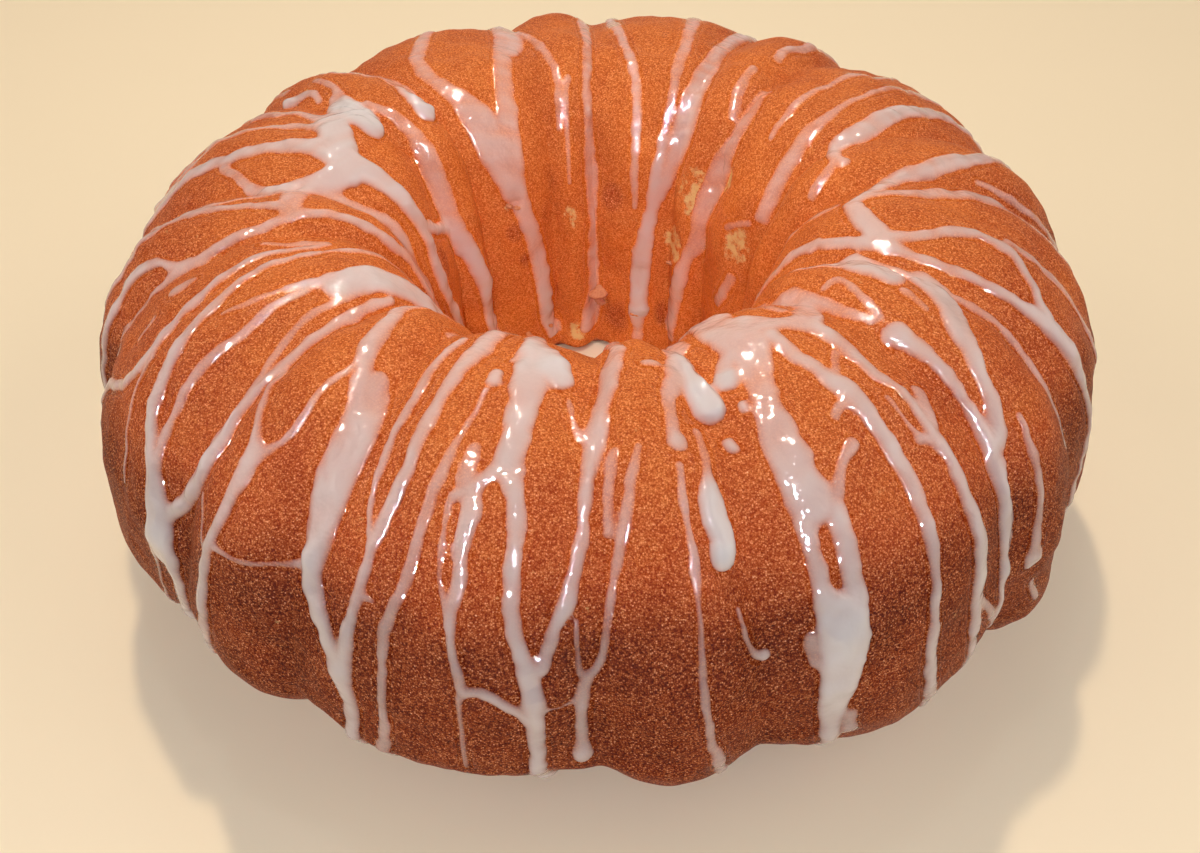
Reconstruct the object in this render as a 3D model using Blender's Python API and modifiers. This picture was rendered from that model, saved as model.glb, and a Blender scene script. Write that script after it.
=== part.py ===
"""Fluted ring cake (bundt cake), baked in a pan of eight wide and eight narrow flutes.

One solid of crumb and crust. Metres, +Z up, with the origin at the middle of the underside.
The ring's section is turned with a Screw modifier, and then the flutes press each of its
points in. The angle phi runs from -Y towards +X.
"""
import math

import bpy
import numpy as np

# Driving dimensions, in metres and degrees
OUTER_RADIUS = 0.126        # wide flutes' ridges, where the cake is widest
WIDEST_HEIGHT = 0.035
CROWN_RADIUS = 0.0722       # circle along the top of the ring
CROWN_HEIGHT = 0.091
HOLE_RADIUS = 0.0395        # ridges inside the hole, at its narrowest
HOLE_HEIGHT = 0.039         # where the hole starts to flare
HOLE_FOOT_RADIUS = 0.0414
HOLE_FOOT_HEIGHT = 0.003    # the hole's lower edge is a little rounded
EDGE_RADIUS = 0.1125        # the outer skin's lower edge, where the domed batter met the pan
EDGE_HEIGHT = 0.007
FOOT_OUTER_RADIUS = 0.095   # the flat ring that the cake stands on
FOOT_INNER_RADIUS = 0.0475
OUTER_ROUNDNESS = 2.27      # 2 is an ellipse, more is squarer
INNER_ROUNDNESS = 2.3

FLUTE_PAIRS = 8
PAIR_ANGLE = 360.0 / FLUTE_PAIRS
NARROW_ANGLE = 15.0         # the rest of each pair is the wide flute
HOLE_FLUTE_DEPTH = 0.0043
CROWN_FLUTE_DEPTH = 0.0035
WIDEST_FLUTE_DEPTH = 0.0046
EDGE_FLUTE_DEPTH = 0.0090

# The lower edge shrank unevenly as it baked: it is oval and a little off the middle
EDGE_OVAL_FRONT = -0.05
EDGE_OVAL_SIDE = 0.03
EDGE_SHIFT_X = 0.0029
EDGE_SHIFT_Y = 0.0021

TURN_STEPS = 144            # 2.5 degrees each, so every groove lies on a step
HOLE_WALL_STEPS = 4
INNER_CURVE_STEPS = 9
OUTER_CURVE_STEPS = 11
LOWER_SIDE_STEPS = 5
UNDERSIDE_STEPS = 3
MERGE_DISTANCE = 0.00001

CRUST_COLOUR = (0.42, 0.13, 0.035, 1.0)
CRUST_ROUGHNESS = 0.55


def clear_scene():
    """Remove every object that the open file holds."""
    for item in list(bpy.data.objects):
        bpy.data.objects.remove(item, do_unlink=True)


def crust_material():
    """Browned crust: a Principled material with one even colour."""
    material = bpy.data.materials.new("browned_crust")
    material.use_nodes = True
    shader = material.node_tree.nodes["Principled BSDF"]
    shader.inputs["Base Color"].default_value = CRUST_COLOUR
    shader.inputs["Roughness"].default_value = CRUST_ROUGHNESS
    shader.inputs["Metallic"].default_value = 0.0
    return material


def superellipse(turn, roundness):
    """Reach and rise, each 0 to 1, of a superellipse's quarter at an angle in radians."""
    power = 2.0 / roundness
    return round(math.cos(turn), 9) ** power, math.sin(turn) ** power


def ring_section():
    """Rows (radius, height, flute depth, edge share) up the hole, over the crown and down.

    The edge share says how far a point follows the uneven lower edge, from 0 to 1.
    """
    rows = []
    for step in range(HOLE_WALL_STEPS):
        share = step / HOLE_WALL_STEPS
        radius = HOLE_FOOT_RADIUS + (HOLE_RADIUS - HOLE_FOOT_RADIUS) * share
        height = HOLE_FOOT_HEIGHT + (HOLE_HEIGHT - HOLE_FOOT_HEIGHT) * share
        rows.append((radius, height, HOLE_FLUTE_DEPTH, 0.0))
    for step in range(INNER_CURVE_STEPS):
        share = step / INNER_CURVE_STEPS
        reach, rise = superellipse(math.radians(90.0 * share), INNER_ROUNDNESS)
        radius = CROWN_RADIUS - (CROWN_RADIUS - HOLE_RADIUS) * reach
        height = HOLE_HEIGHT + (CROWN_HEIGHT - HOLE_HEIGHT) * rise
        depth = HOLE_FLUTE_DEPTH + (CROWN_FLUTE_DEPTH - HOLE_FLUTE_DEPTH) * share
        rows.append((radius, height, depth, 0.0))
    for step in range(OUTER_CURVE_STEPS + 1):
        share = step / OUTER_CURVE_STEPS
        reach, rise = superellipse(math.radians(90.0 * (1.0 - share)), OUTER_ROUNDNESS)
        radius = CROWN_RADIUS + (OUTER_RADIUS - CROWN_RADIUS) * reach
        height = WIDEST_HEIGHT + (CROWN_HEIGHT - WIDEST_HEIGHT) * rise
        depth = CROWN_FLUTE_DEPTH + (WIDEST_FLUTE_DEPTH - CROWN_FLUTE_DEPTH) * share
        rows.append((radius, height, depth, 0.0))
    for step in range(1, LOWER_SIDE_STEPS + 1):
        share = step / LOWER_SIDE_STEPS
        radius = OUTER_RADIUS + (EDGE_RADIUS - OUTER_RADIUS) * share * share
        height = WIDEST_HEIGHT + (EDGE_HEIGHT - WIDEST_HEIGHT) * share
        depth = WIDEST_FLUTE_DEPTH + (EDGE_FLUTE_DEPTH - WIDEST_FLUTE_DEPTH) * share
        rows.append((radius, height, depth, share))
    return np.array(rows)


def inward_directions(rows):
    """Unit directions, as (radial, upward), in which the flutes press each point.

    They run against the section's normal, and turn level towards the lower edge, where the
    pan's grooves ran straight out of the batter.
    """
    along_radius = np.gradient(rows[:, 0])
    along_height = np.gradient(rows[:, 1])
    share = rows[:, 3]
    length = np.hypot(along_radius, along_height)
    radial = along_height / length * (1.0 - share) - share
    upward = -along_radius / length * (1.0 - share)
    length = np.hypot(radial, upward)
    return np.stack([radial / length, upward / length], axis=1)


def underside():
    """Rows of the underside: a curve from the edge's slope down to the flat foot ring."""
    lower_side_height = WIDEST_HEIGHT - EDGE_HEIGHT
    slope = 2.0 * (OUTER_RADIUS - EDGE_RADIUS) / lower_side_height
    corner_radius = EDGE_RADIUS - EDGE_HEIGHT * slope
    rows = []
    for step in range(1, UNDERSIDE_STEPS + 1):
        share = step / UNDERSIDE_STEPS
        rest = 1.0 - share
        radius = (rest * rest * EDGE_RADIUS + 2.0 * rest * share * corner_radius
                  + share * share * FOOT_OUTER_RADIUS)
        rows.append((radius, rest * rest * EDGE_HEIGHT, rest * EDGE_FLUTE_DEPTH, 1.0))
    rows.append((FOOT_INNER_RADIUS, 0.0, 0.0, 0.0))
    return np.array(rows)


def whole_section():
    """The closed section: rows as in ring_section, and the flutes' direction at each."""
    skin = ring_section()
    foot = underside()
    level = np.tile((-1.0, 0.0), (len(foot), 1))
    return np.vstack([skin, foot]), np.vstack([inward_directions(skin), level])


def flute_height(phi):
    """1 on each flute's ridge and 0 in the grooves between, for angles in degrees.

    Each flute is a parabola across its own width: 1 - t * t, for t from -1 to 1.
    """
    within = np.mod(phi, PAIR_ANGLE)
    narrow = within < NARROW_ANGLE
    start = np.where(narrow, 0.0, NARROW_ANGLE)
    width = np.where(narrow, NARROW_ANGLE, PAIR_ANGLE - NARROW_ANGLE)
    across = 2.0 * (within - start) / width - 1.0
    return 1.0 - across * across


def turned_mesh(rows):
    """Turn the section about Z with a Screw modifier, and return the mesh it gives."""
    points = [(radius, 0.0, height) for radius, height in rows[:, :2]]
    edges = [(index, (index + 1) % len(points)) for index in range(len(points))]
    outline = bpy.data.meshes.new("ring_section")
    outline.from_pydata(points, edges, [])
    guide = bpy.data.objects.new("ring_section", outline)
    bpy.context.scene.collection.objects.link(guide)
    screw = guide.modifiers.new("Turn", "SCREW")
    screw.axis = "Z"
    screw.angle = math.radians(360.0)
    screw.steps = TURN_STEPS
    screw.render_steps = TURN_STEPS
    screw.use_merge_vertices = True
    screw.merge_threshold = MERGE_DISTANCE
    depsgraph = bpy.context.evaluated_depsgraph_get()
    mesh = bpy.data.meshes.new_from_object(guide.evaluated_get(depsgraph))
    bpy.data.objects.remove(guide, do_unlink=True)
    bpy.data.meshes.remove(outline)
    return mesh


def press_flutes(mesh, rows, directions):
    """Press each point in by the flute depth, and shape the uneven lower edge."""
    flat = np.empty(len(mesh.vertices) * 3)
    mesh.vertices.foreach_get("co", flat)
    points = flat.reshape(-1, 3)
    radius = np.hypot(points[:, 0], points[:, 1])
    phi = np.arctan2(points[:, 0], -points[:, 1])

    # Each vertex was turned from the section point that it still lies on
    gap = np.hypot(radius[:, None] - rows[None, :, 0], points[:, 2:] - rows[None, :, 1])
    station = gap.argmin(axis=1)
    depth = rows[station, 2]
    share = rows[station, 3]
    inward = depth * (1.0 - flute_height(np.degrees(phi)))
    radius = rows[station, 0] + inward * directions[station, 0]
    height = rows[station, 1] + inward * directions[station, 1]

    oval = EDGE_OVAL_FRONT * np.cos(2.0 * phi) + EDGE_OVAL_SIDE * np.sin(2.0 * phi)
    radius = radius * (1.0 + share * oval)
    points[:, 0] = radius * np.sin(phi) + share * EDGE_SHIFT_X
    points[:, 1] = -radius * np.cos(phi) + share * EDGE_SHIFT_Y
    points[:, 2] = height
    mesh.vertices.foreach_set("co", points.ravel())
    mesh.update()


def make_cake(collection):
    """The whole cake, crust and crumb, as one closed ring."""
    rows, directions = whole_section()
    mesh = turned_mesh(rows)
    press_flutes(mesh, rows, directions)
    mesh.shade_smooth()
    mesh.set_sharp_from_angle(angle=math.radians(40.0))
    mesh.materials.clear()
    mesh.materials.append(crust_material())
    mesh.name = "cake"
    cake = bpy.data.objects.new("cake", mesh)
    collection.objects.link(cake)


clear_scene()
cake_collection = bpy.data.collections.new("bundt_cake")
bpy.context.scene.collection.children.link(cake_collection)
make_cake(cake_collection)
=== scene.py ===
"""Looks of the glazed bundt cake: its browned crust, the sugar glaze that ran down it, and crumbs.

Places on the cake are given as (phi, s): phi is the angle in degrees from -Y towards +X, and s is
the distance in mm along the ring's section, from the crest of the crown. It is positive down the
outside and negative down into the hole.
"""

import math

import bpy
import numpy as np
from mathutils import Matrix, Vector


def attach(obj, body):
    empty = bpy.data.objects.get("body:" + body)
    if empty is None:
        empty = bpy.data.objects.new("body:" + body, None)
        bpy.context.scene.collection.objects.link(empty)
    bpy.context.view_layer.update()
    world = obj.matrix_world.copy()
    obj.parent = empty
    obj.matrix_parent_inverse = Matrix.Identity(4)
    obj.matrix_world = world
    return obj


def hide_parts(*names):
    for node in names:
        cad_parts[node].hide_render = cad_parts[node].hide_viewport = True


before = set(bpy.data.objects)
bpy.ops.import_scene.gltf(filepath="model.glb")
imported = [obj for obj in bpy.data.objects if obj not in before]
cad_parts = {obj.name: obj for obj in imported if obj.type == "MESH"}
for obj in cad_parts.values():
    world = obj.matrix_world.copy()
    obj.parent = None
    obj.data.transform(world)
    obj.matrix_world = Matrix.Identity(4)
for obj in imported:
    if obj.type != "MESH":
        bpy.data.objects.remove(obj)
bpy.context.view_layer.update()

# --- Crust ----------------------------------------------------------------------------------------
# The cake itself: a ring of butter batter, baked in a pan of eight wide and eight narrow flutes and
# turned out. Its skin is browned, fine-pored and a little greasy, and it tore in places in the hole.

MM = 0.001

# The section, in mm, as in the CAD solid that this piece replaces
OUTER_RADIUS = 126.0
WIDEST_HEIGHT = 35.0
CROWN_RADIUS = 72.2
CROWN_HEIGHT = 91.0
HOLE_RADIUS = 39.5
HOLE_HEIGHT = 39.0
HOLE_FOOT_RADIUS = 41.4
HOLE_FOOT_HEIGHT = 3.0
EDGE_RADIUS = 112.5
EDGE_HEIGHT = 7.0
FOOT_OUTER_RADIUS = 95.0
FOOT_INNER_RADIUS = 47.5
OUTER_ROUNDNESS = 2.27
INNER_ROUNDNESS = 2.3
PAIR_ANGLE = 45.0
NARROW_ANGLE = 15.0
HOLE_FLUTE_DEPTH = 4.3
CROWN_FLUTE_DEPTH = 3.5
WIDEST_FLUTE_DEPTH = 4.6
EDGE_FLUTE_DEPTH = 9.0
EDGE_OVAL_FRONT = -0.05
EDGE_OVAL_SIDE = 0.03
EDGE_SHIFT_X = 2.9
EDGE_SHIFT_Y = 2.1
GROOVE_SOFTNESS = 0.45      # degrees, how far the batter rounded the pan's sharp grooves

CRUST_TURN_STEPS = 640
CRUST_SKIN_STEPS = 140
CRUST_FOOT_STEPS = 5


def superellipse(share, roundness):
    """Reach and rise, each 0 to 1, along a superellipse's quarter: cosine and sine to a power. The
    cosine is rounded, so that it ends at exactly 0."""
    turn = share * math.pi / 2
    return np.round(np.cos(turn), 9) ** (2 / roundness), np.sin(turn) ** (2 / roundness)


def make_section():
    """The section as a dense table by distance s: radius, height, flute depth, share of the uneven
    edge, and the direction (radial, upward) in which the flutes press.

    Up the hole it is straight, over the crown it is two superellipses, down the lower side a
    parabola, and on the underside a quadratic curve that runs out to the flat foot.
    """
    hole = np.linspace(0, 1, 60, endpoint=False)
    inner = np.linspace(0, 1, 160, endpoint=False)
    outer = np.linspace(0, 1, 161)
    lower = np.linspace(0, 1, 61)[1:]
    under = np.linspace(0, 1, 21)[1:]
    in_reach, in_rise = superellipse(inner, INNER_ROUNDNESS)
    out_reach, out_rise = superellipse(1 - outer, OUTER_ROUNDNESS)
    slope = 2 * (OUTER_RADIUS - EDGE_RADIUS) / (WIDEST_HEIGHT - EDGE_HEIGHT)
    corner_radius = EDGE_RADIUS - EDGE_HEIGHT * slope
    rest = 1 - under
    radius = np.concatenate([
        HOLE_FOOT_RADIUS + (HOLE_RADIUS - HOLE_FOOT_RADIUS) * hole,
        CROWN_RADIUS - (CROWN_RADIUS - HOLE_RADIUS) * in_reach,
        CROWN_RADIUS + (OUTER_RADIUS - CROWN_RADIUS) * out_reach,
        OUTER_RADIUS + (EDGE_RADIUS - OUTER_RADIUS) * lower ** 2,
        rest ** 2 * EDGE_RADIUS + 2 * rest * under * corner_radius + under ** 2 * FOOT_OUTER_RADIUS])
    height = np.concatenate([
        HOLE_FOOT_HEIGHT + (HOLE_HEIGHT - HOLE_FOOT_HEIGHT) * hole,
        HOLE_HEIGHT + (CROWN_HEIGHT - HOLE_HEIGHT) * in_rise,
        WIDEST_HEIGHT + (CROWN_HEIGHT - WIDEST_HEIGHT) * out_rise,
        WIDEST_HEIGHT + (EDGE_HEIGHT - WIDEST_HEIGHT) * lower,
        rest ** 2 * EDGE_HEIGHT])
    depth = np.concatenate([
        np.full_like(hole, HOLE_FLUTE_DEPTH),
        HOLE_FLUTE_DEPTH + (CROWN_FLUTE_DEPTH - HOLE_FLUTE_DEPTH) * inner,
        CROWN_FLUTE_DEPTH + (WIDEST_FLUTE_DEPTH - CROWN_FLUTE_DEPTH) * outer,
        WIDEST_FLUTE_DEPTH + (EDGE_FLUTE_DEPTH - WIDEST_FLUTE_DEPTH) * lower,
        rest * EDGE_FLUTE_DEPTH])
    still = len(hole) + len(inner) + len(outer)
    edge = np.concatenate([np.zeros(still), lower, np.ones_like(under)])

    along_radius, along_height = np.gradient(radius), np.gradient(height)
    length = np.hypot(along_radius, along_height)
    radial = along_height / length * (1 - edge) - edge
    upward = -along_radius / length * (1 - edge)
    length = np.hypot(radial, upward)

    steps = np.hypot(np.diff(radius), np.diff(height))
    distance = np.concatenate([[0.0], np.cumsum(steps)])
    distance -= distance[len(hole) + len(inner)]
    return distance, np.stack([radius, height, depth, edge, radial / length, upward / length])


SECTION_DISTANCE, SECTION = make_section()
HOLE_FOOT_S = SECTION_DISTANCE[0]
EDGE_S = SECTION_DISTANCE[np.argmax(SECTION[3] >= 1)]
FOOT_S = SECTION_DISTANCE[-1]


def make_flute_curve():
    """Height across one pair of flutes: 1 - t * t over each flute, then softened by a Gaussian."""
    step = 0.05
    phi = np.arange(0, PAIR_ANGLE, step)
    narrow = phi < NARROW_ANGLE
    start = np.where(narrow, 0, NARROW_ANGLE)
    width = np.where(narrow, NARROW_ANGLE, PAIR_ANGLE - NARROW_ANGLE)
    across = 2 * (phi - start) / width - 1
    reach = np.arange(-4 * GROOVE_SOFTNESS, 4 * GROOVE_SOFTNESS + step, step)
    weight = np.exp(-0.5 * (reach / GROOVE_SOFTNESS) ** 2)
    height = np.convolve(np.tile(1 - across ** 2, 3), weight / weight.sum(), mode="same")
    return phi, height[len(phi):2 * len(phi)]


FLUTE_PHI, FLUTE_HEIGHT = make_flute_curve()


def groove_share(phi):
    """How deep in a groove phi lies: 0 on a flute's ridge, and nearly 1 at the bottom of a groove."""
    return 1 - np.interp(np.mod(phi, PAIR_ANGLE), FLUTE_PHI, FLUTE_HEIGHT, period=PAIR_ANGLE)


def section_at(s):
    """The section's table read at distances s: one array for each of its columns."""
    return [np.interp(s, SECTION_DISTANCE, column) for column in SECTION]


def skin_point(phi, s):
    """Points of the smooth skin, in mm: the section turned to phi and pressed in by the flutes."""
    radius, height, depth, edge, radial, upward = section_at(s)
    turn = np.radians(phi)
    inward = depth * groove_share(phi)
    oval = EDGE_OVAL_FRONT * np.cos(2 * turn) + EDGE_OVAL_SIDE * np.sin(2 * turn)
    reach = (radius + inward * radial) * (1 + edge * oval)
    x = reach * np.sin(turn) + edge * EDGE_SHIFT_X
    y = -reach * np.cos(turn) + edge * EDGE_SHIFT_Y
    return np.stack([x, y, height + inward * upward], axis=-1)


def skin_normal(phi, s, span=0.2):
    """Outward unit normals of the smooth skin: the cross product of its two central differences,
    over a span in degrees to each side. A wide span smooths them across the grooves."""
    turned = skin_point(phi + span, s) - skin_point(phi - span, s)
    down = skin_point(phi, s + 2 * span) - skin_point(phi, s - 2 * span)
    normal = np.cross(down, turned)
    return normal / np.linalg.norm(normal, axis=-1, keepdims=True)


def waves(points, shortest, longest, count, seed):
    """Even, seeded unevenness of about -2 to 2: sine waves in random directions, added up."""
    random = np.random.default_rng(seed)
    direction = random.normal(size=(count, points.shape[-1]))
    direction /= np.linalg.norm(direction, axis=1, keepdims=True)
    direction *= 2 * math.pi / random.uniform(shortest, longest, (count, 1))
    start = random.uniform(0, 2 * math.pi, count)
    total = np.zeros(points.shape[:-1])
    for vector, phase in zip(direction, start):
        total += np.sin(points @ vector + phase)
    return total * math.sqrt(2 / count)


def smoothstep(low, high, value):
    """0 below low and 1 above high, with a smooth S between, or the reverse if low is the larger."""
    share = np.clip((value - low) / (high - low), 0, 1)
    return share * share * (3 - 2 * share)


PATCH_CORE = 0.35           # how far out a patch stays whole, as a share of its half size
# Where the crust tore off as the cake left the pan: phi, s, half width and half height in mm
TORN_PATCHES = (
    (140.0, -43, 8.5, 10), (147.0, -62, 4.5, 8), (132.5, -36, 5.5, 6), (114.5, -50, 6.5, 9),
    (-147.5, -48, 4.0, 2.6), (-171.0, -55, 2.6, 6), (179.0, -88, 4.5, 6), (-172.0, -99, 5.0, 6),
    (40.0, -60, 5.0, 8), (-62.0, -72, 4.0, 7),
)
# Where it stayed thick and baked dark, and painted shade where a deep pore would hold shadow
DARK_AND_PORE_SHADE_PATCHES = (
    (173.0, -50, 4.5, 6), (-147.0, -56, 4.0, 4), (-107.0, -50, 4.0, 7), (171.0, -93, 5.0, 9),
    (164.0, 3, 0.9, 0.9), (-150.0, -66, 2.5, 3), (152.0, -90, 3.0, 7), (10.0, -70, 5.0, 8),
)


def patch_share(phi, s, patches):
    """1 in the middle of each oval patch and 0 outside them all: a smooth step of the distance from
    its middle, in mm across and down the skin over its half sizes."""
    share = np.zeros(np.broadcast(phi, s).shape)
    for centre_phi, centre_s, half_across, half_down in patches:
        radius = section_at(centre_s)[0]
        turn = np.radians(np.mod(phi - centre_phi + 180, 360) - 180)
        away = np.hypot(turn * radius / half_across, (s - centre_s) / half_down)
        share = np.maximum(share, 1 - smoothstep(PATCH_CORE, 1.0, away))
    return share


SWELL_HEIGHT = 0.34         # mm
LUMP_HEIGHT = 0.12
TORN_DEPTH = 0.8


def relief(phi, s, points):
    """How far the real skin stands off the smooth one, in mm: slow swells, small lumps and torn
    hollows. It fades out at the edge and on the foot, so that the cake still stands flat.
    """
    swell = SWELL_HEIGHT * waves(points, 14, 26, 24, 11) + LUMP_HEIGHT * waves(points, 5, 8, 30, 12)
    torn = torn_share(phi, s, points)
    fade = 1 - smoothstep(EDGE_S - 6, EDGE_S + 4, s)
    hole_fade = smoothstep(HOLE_FOOT_S, HOLE_FOOT_S + 8, s)
    return (swell - TORN_DEPTH * torn) * fade * hole_fade


def torn_share(phi, s, points):
    """1 where the crust is torn off and crumb shows, with a ragged edge, and 0 elsewhere."""
    share = patch_share(phi, s, TORN_PATCHES)
    ragged = 0.16 * waves(points, 4, 8, 20, 13) + 0.12 * waves(points, 2.2, 3.6, 30, 15)
    return np.clip(share * (1 + ragged), 0, 1)


# Browning from 0 to 1, with painted shade and light mixed in: on the crest, then what each part adds
CREST_BROWNING = 0.2
SHOULDER_BROWNING = 0.15
SIDE_BROWNING = 0.35
RIM_BROWNING = -0.03
# The wall in the hole is drawn paler: partly paler baking, partly painted light that brightens it
WALL_PALER_AND_LIT = -0.10
# Painted shade: the grooves are drawn darker, as shade falls in them
GROOVE_SHADE = 0.05
# Partly darker baking, partly painted shade for deep pores
PATCH_BROWNING_AND_SHADE = 0.28
UNEVEN_BROWNING = 0.022
# Painted light: the left and right sides are drawn paler further down, as if more lit
SIDE_LIGHT_DELAY = 7              # mm, how much lower the left and right sides turn dark
FOOT_BROWNING = 0.8


def browning_and_shade(phi, s, points):
    """How dark the crust is drawn, 0 to 1: baked darkest low on the sides, with painted shade added in
    the grooves and in the dark patches' pores. It is least in the hole, where the wall is partly paler
    baking and partly painted light, and the left and right sides turn dark lower down as painted light.
    Each part's share rises by a smooth step of s."""
    delay = SIDE_LIGHT_DELAY * np.sin(np.radians(phi)) ** 2
    side = (SHOULDER_BROWNING * smoothstep(4, 36, s)
            + SIDE_BROWNING * smoothstep(36, 60, s - delay))
    wall = RIM_BROWNING * smoothstep(-4, -18, s) + WALL_PALER_AND_LIT * smoothstep(-18, -48, s)
    groove = GROOVE_SHADE * groove_share(phi)
    dark = PATCH_BROWNING_AND_SHADE * patch_share(phi, s, DARK_AND_PORE_SHADE_PATCHES)
    uneven = UNEVEN_BROWNING * waves(points, 9, 22, 24, 14)
    return np.clip(CREST_BROWNING + side + wall + groove + dark + uneven, 0, 1)


def real_skin(phi, s):
    """The skin with its relief: the points in mm, the normals, and the points of the smooth skin."""
    smooth = skin_point(phi, s)
    normal = skin_normal(phi, s)
    return smooth + normal * relief(phi, s, smooth)[..., None], normal, smooth


def mesh_piece(name, points, faces, material):
    """A smooth-shaded object at the origin, from points in mm and quads as an array of indices."""
    mesh = bpy.data.meshes.new(name)
    mesh.vertices.add(len(points))
    mesh.vertices.foreach_set("co", (points * MM).astype(np.float32).ravel())
    mesh.loops.add(faces.size)
    mesh.loops.foreach_set("vertex_index", faces.astype(np.int32).ravel())
    mesh.polygons.add(len(faces))
    corners = faces.shape[1]
    mesh.polygons.foreach_set("loop_start", np.arange(0, faces.size, corners, dtype=np.int32))
    mesh.update(calc_edges=True)
    mesh.validate()
    mesh.shade_smooth()
    mesh.materials.append(material)
    piece = bpy.data.objects.new(name, mesh)
    bpy.context.scene.collection.objects.link(piece)
    return piece


def add_attribute(piece, name, values):
    """Stores one number for each vertex under a name that the material can read."""
    stored = piece.data.attributes.new(name, "FLOAT", "POINT")
    stored.data.foreach_set("value", values.astype(np.float32).ravel())


def colour(hex_value):
    """An sRGB hex colour as linear RGBA."""
    channels = [int(hex_value[place:place + 2], 16) / 255 for place in (1, 3, 5)]
    linear = [c / 12.92 if c <= 0.04045 else ((c + 0.055) / 1.055) ** 2.4 for c in channels]
    return (*linear, 1.0)


def add_node(tree, kind, inputs, **settings):
    """A shader node with its settings. Each input is a value, or the output socket linked to it."""
    made = tree.nodes.new("ShaderNode" + kind)
    for name, value in settings.items():
        setattr(made, name, value)
    for name, value in inputs.items():
        if isinstance(value, bpy.types.NodeSocket):
            tree.links.new(value, made.inputs[name])
        else:
            made.inputs[name].default_value = value
    return made


def new_material(name):
    """An empty Principled material: the material, its tree and its shader."""
    material = bpy.data.materials.new(name)
    material.use_nodes = True
    return material, material.node_tree, material.node_tree.nodes["Principled BSDF"]


# Pattern scales, as features per metre
GRAIN_SCALE = 2900.0        # grains of crumb, about 0.35 mm across
CLUMP_SCALE = 2300.0        # clumps of them, about 0.45 mm
MOTTLE_SCALE = 70.0         # mottling, about 14 mm
SHRED_SCALE = 380.0         # ragged edges of torn crust, about 2.5 mm
# The crust's colours by level, from its darkest, with most browning and painted shade, to its palest
CRUST_COLOURS = ((0.0, "#4a1a0a"), (0.3, "#943f18"), (0.6, "#cf6430"), (0.8, "#e67b38"),
                 (1.0, "#f98a3b"))
CRUMB_YELLOW = "#ffd68c"


def crust_pattern(tree, contrast):
    """The browned skin's colour and its grains' height, which the see-through glaze shows too.

    The level is one minus how dark the crust is drawn. A swing is a contrast times this sum: mottling,
    clumps, each grain's own shade, and a fall from each grain's middle to the gaps between grains, which
    is painted shade in the gaps. The colour is the level's colour to the power (1 - 0.35 swing), times
    (1 + 0.24 swing): gaps are deeper and redder as painted shade, and grains paler, partly their own
    tone and partly painted glints.
    """
    place = add_node(tree, "TexCoord", {}).outputs["Object"]
    brown_and_shade = add_node(tree, "Attribute", {}, attribute_name="browning_and_shade").outputs["Fac"]
    mottle = add_node(tree, "TexNoise", {"Vector": place, "Scale": MOTTLE_SCALE, "Detail": 2.0})
    clump = add_node(tree, "TexNoise", {"Vector": place, "Scale": CLUMP_SCALE, "Detail": 3.0,
                                        "Roughness": 0.75})
    grain = add_node(tree, "TexVoronoi", {"Vector": place, "Scale": GRAIN_SCALE, "Randomness": 1.0})
    shade = add_node(tree, "SeparateColor", {"Color": grain.outputs["Color"]}).outputs[0]
    total = 0.0
    # The last term, the fall from a grain's middle to its gaps, is painted shade between grains
    for source, middle, share in ((mottle.outputs["Fac"], 0.5, 0.08), (clump.outputs["Fac"], 0.5, 1.0),
                                  (shade, 0.5, 0.42), (grain.outputs["Distance"], 0.45, -0.5)):
        swing = add_node(tree, "Math", {0: source, 1: middle}, operation="SUBTRACT").outputs[0]
        total = add_node(tree, "Math", {0: swing, 1: share, 2: total},
                         operation="MULTIPLY_ADD").outputs[0]
    level = add_node(tree, "Math", {0: 1.0, 1: brown_and_shade}, operation="SUBTRACT").outputs[0]
    ramp = add_node(tree, "ValToRGB", {"Fac": level})
    stops = ramp.color_ramp.elements
    stops[0].color = colour(CRUST_COLOURS[0][1])
    stops[1].color = colour(CRUST_COLOURS[-1][1])
    for place_on_ramp, hex_value in CRUST_COLOURS[1:-1]:
        stops.new(place_on_ramp).color = colour(hex_value)
    swing = add_node(tree, "Math", {0: total, 1: contrast}, operation="MULTIPLY").outputs[0]
    # Paler grains are partly their own tone and partly painted glints; the darker, redder gaps are
    # painted shade
    power = add_node(tree, "MapRange", {"Value": swing, "From Min": -2.0, "From Max": 2.0,
                                        "To Min": 1.7, "To Max": 0.3})
    gain = add_node(tree, "MapRange", {"Value": swing, "From Min": -2.0, "From Max": 2.0,
                                       "To Min": 0.52, "To Max": 1.48})
    deep = add_node(tree, "Gamma", {"Color": ramp.outputs["Color"], "Gamma": power.outputs["Result"]})
    shown = add_node(tree, "VectorMath", {0: deep.outputs["Color"], "Scale": gain.outputs["Result"]},
                     operation="SCALE")
    dome = add_node(tree, "Math", {0: clump.outputs["Fac"], 1: grain.outputs["Distance"]},
                    operation="SUBTRACT").outputs[0]
    height = add_node(tree, "Math", {0: shade, 1: 0.6, 2: dome}, operation="MULTIPLY_ADD").outputs[0]
    return shown.outputs["Vector"], height


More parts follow.
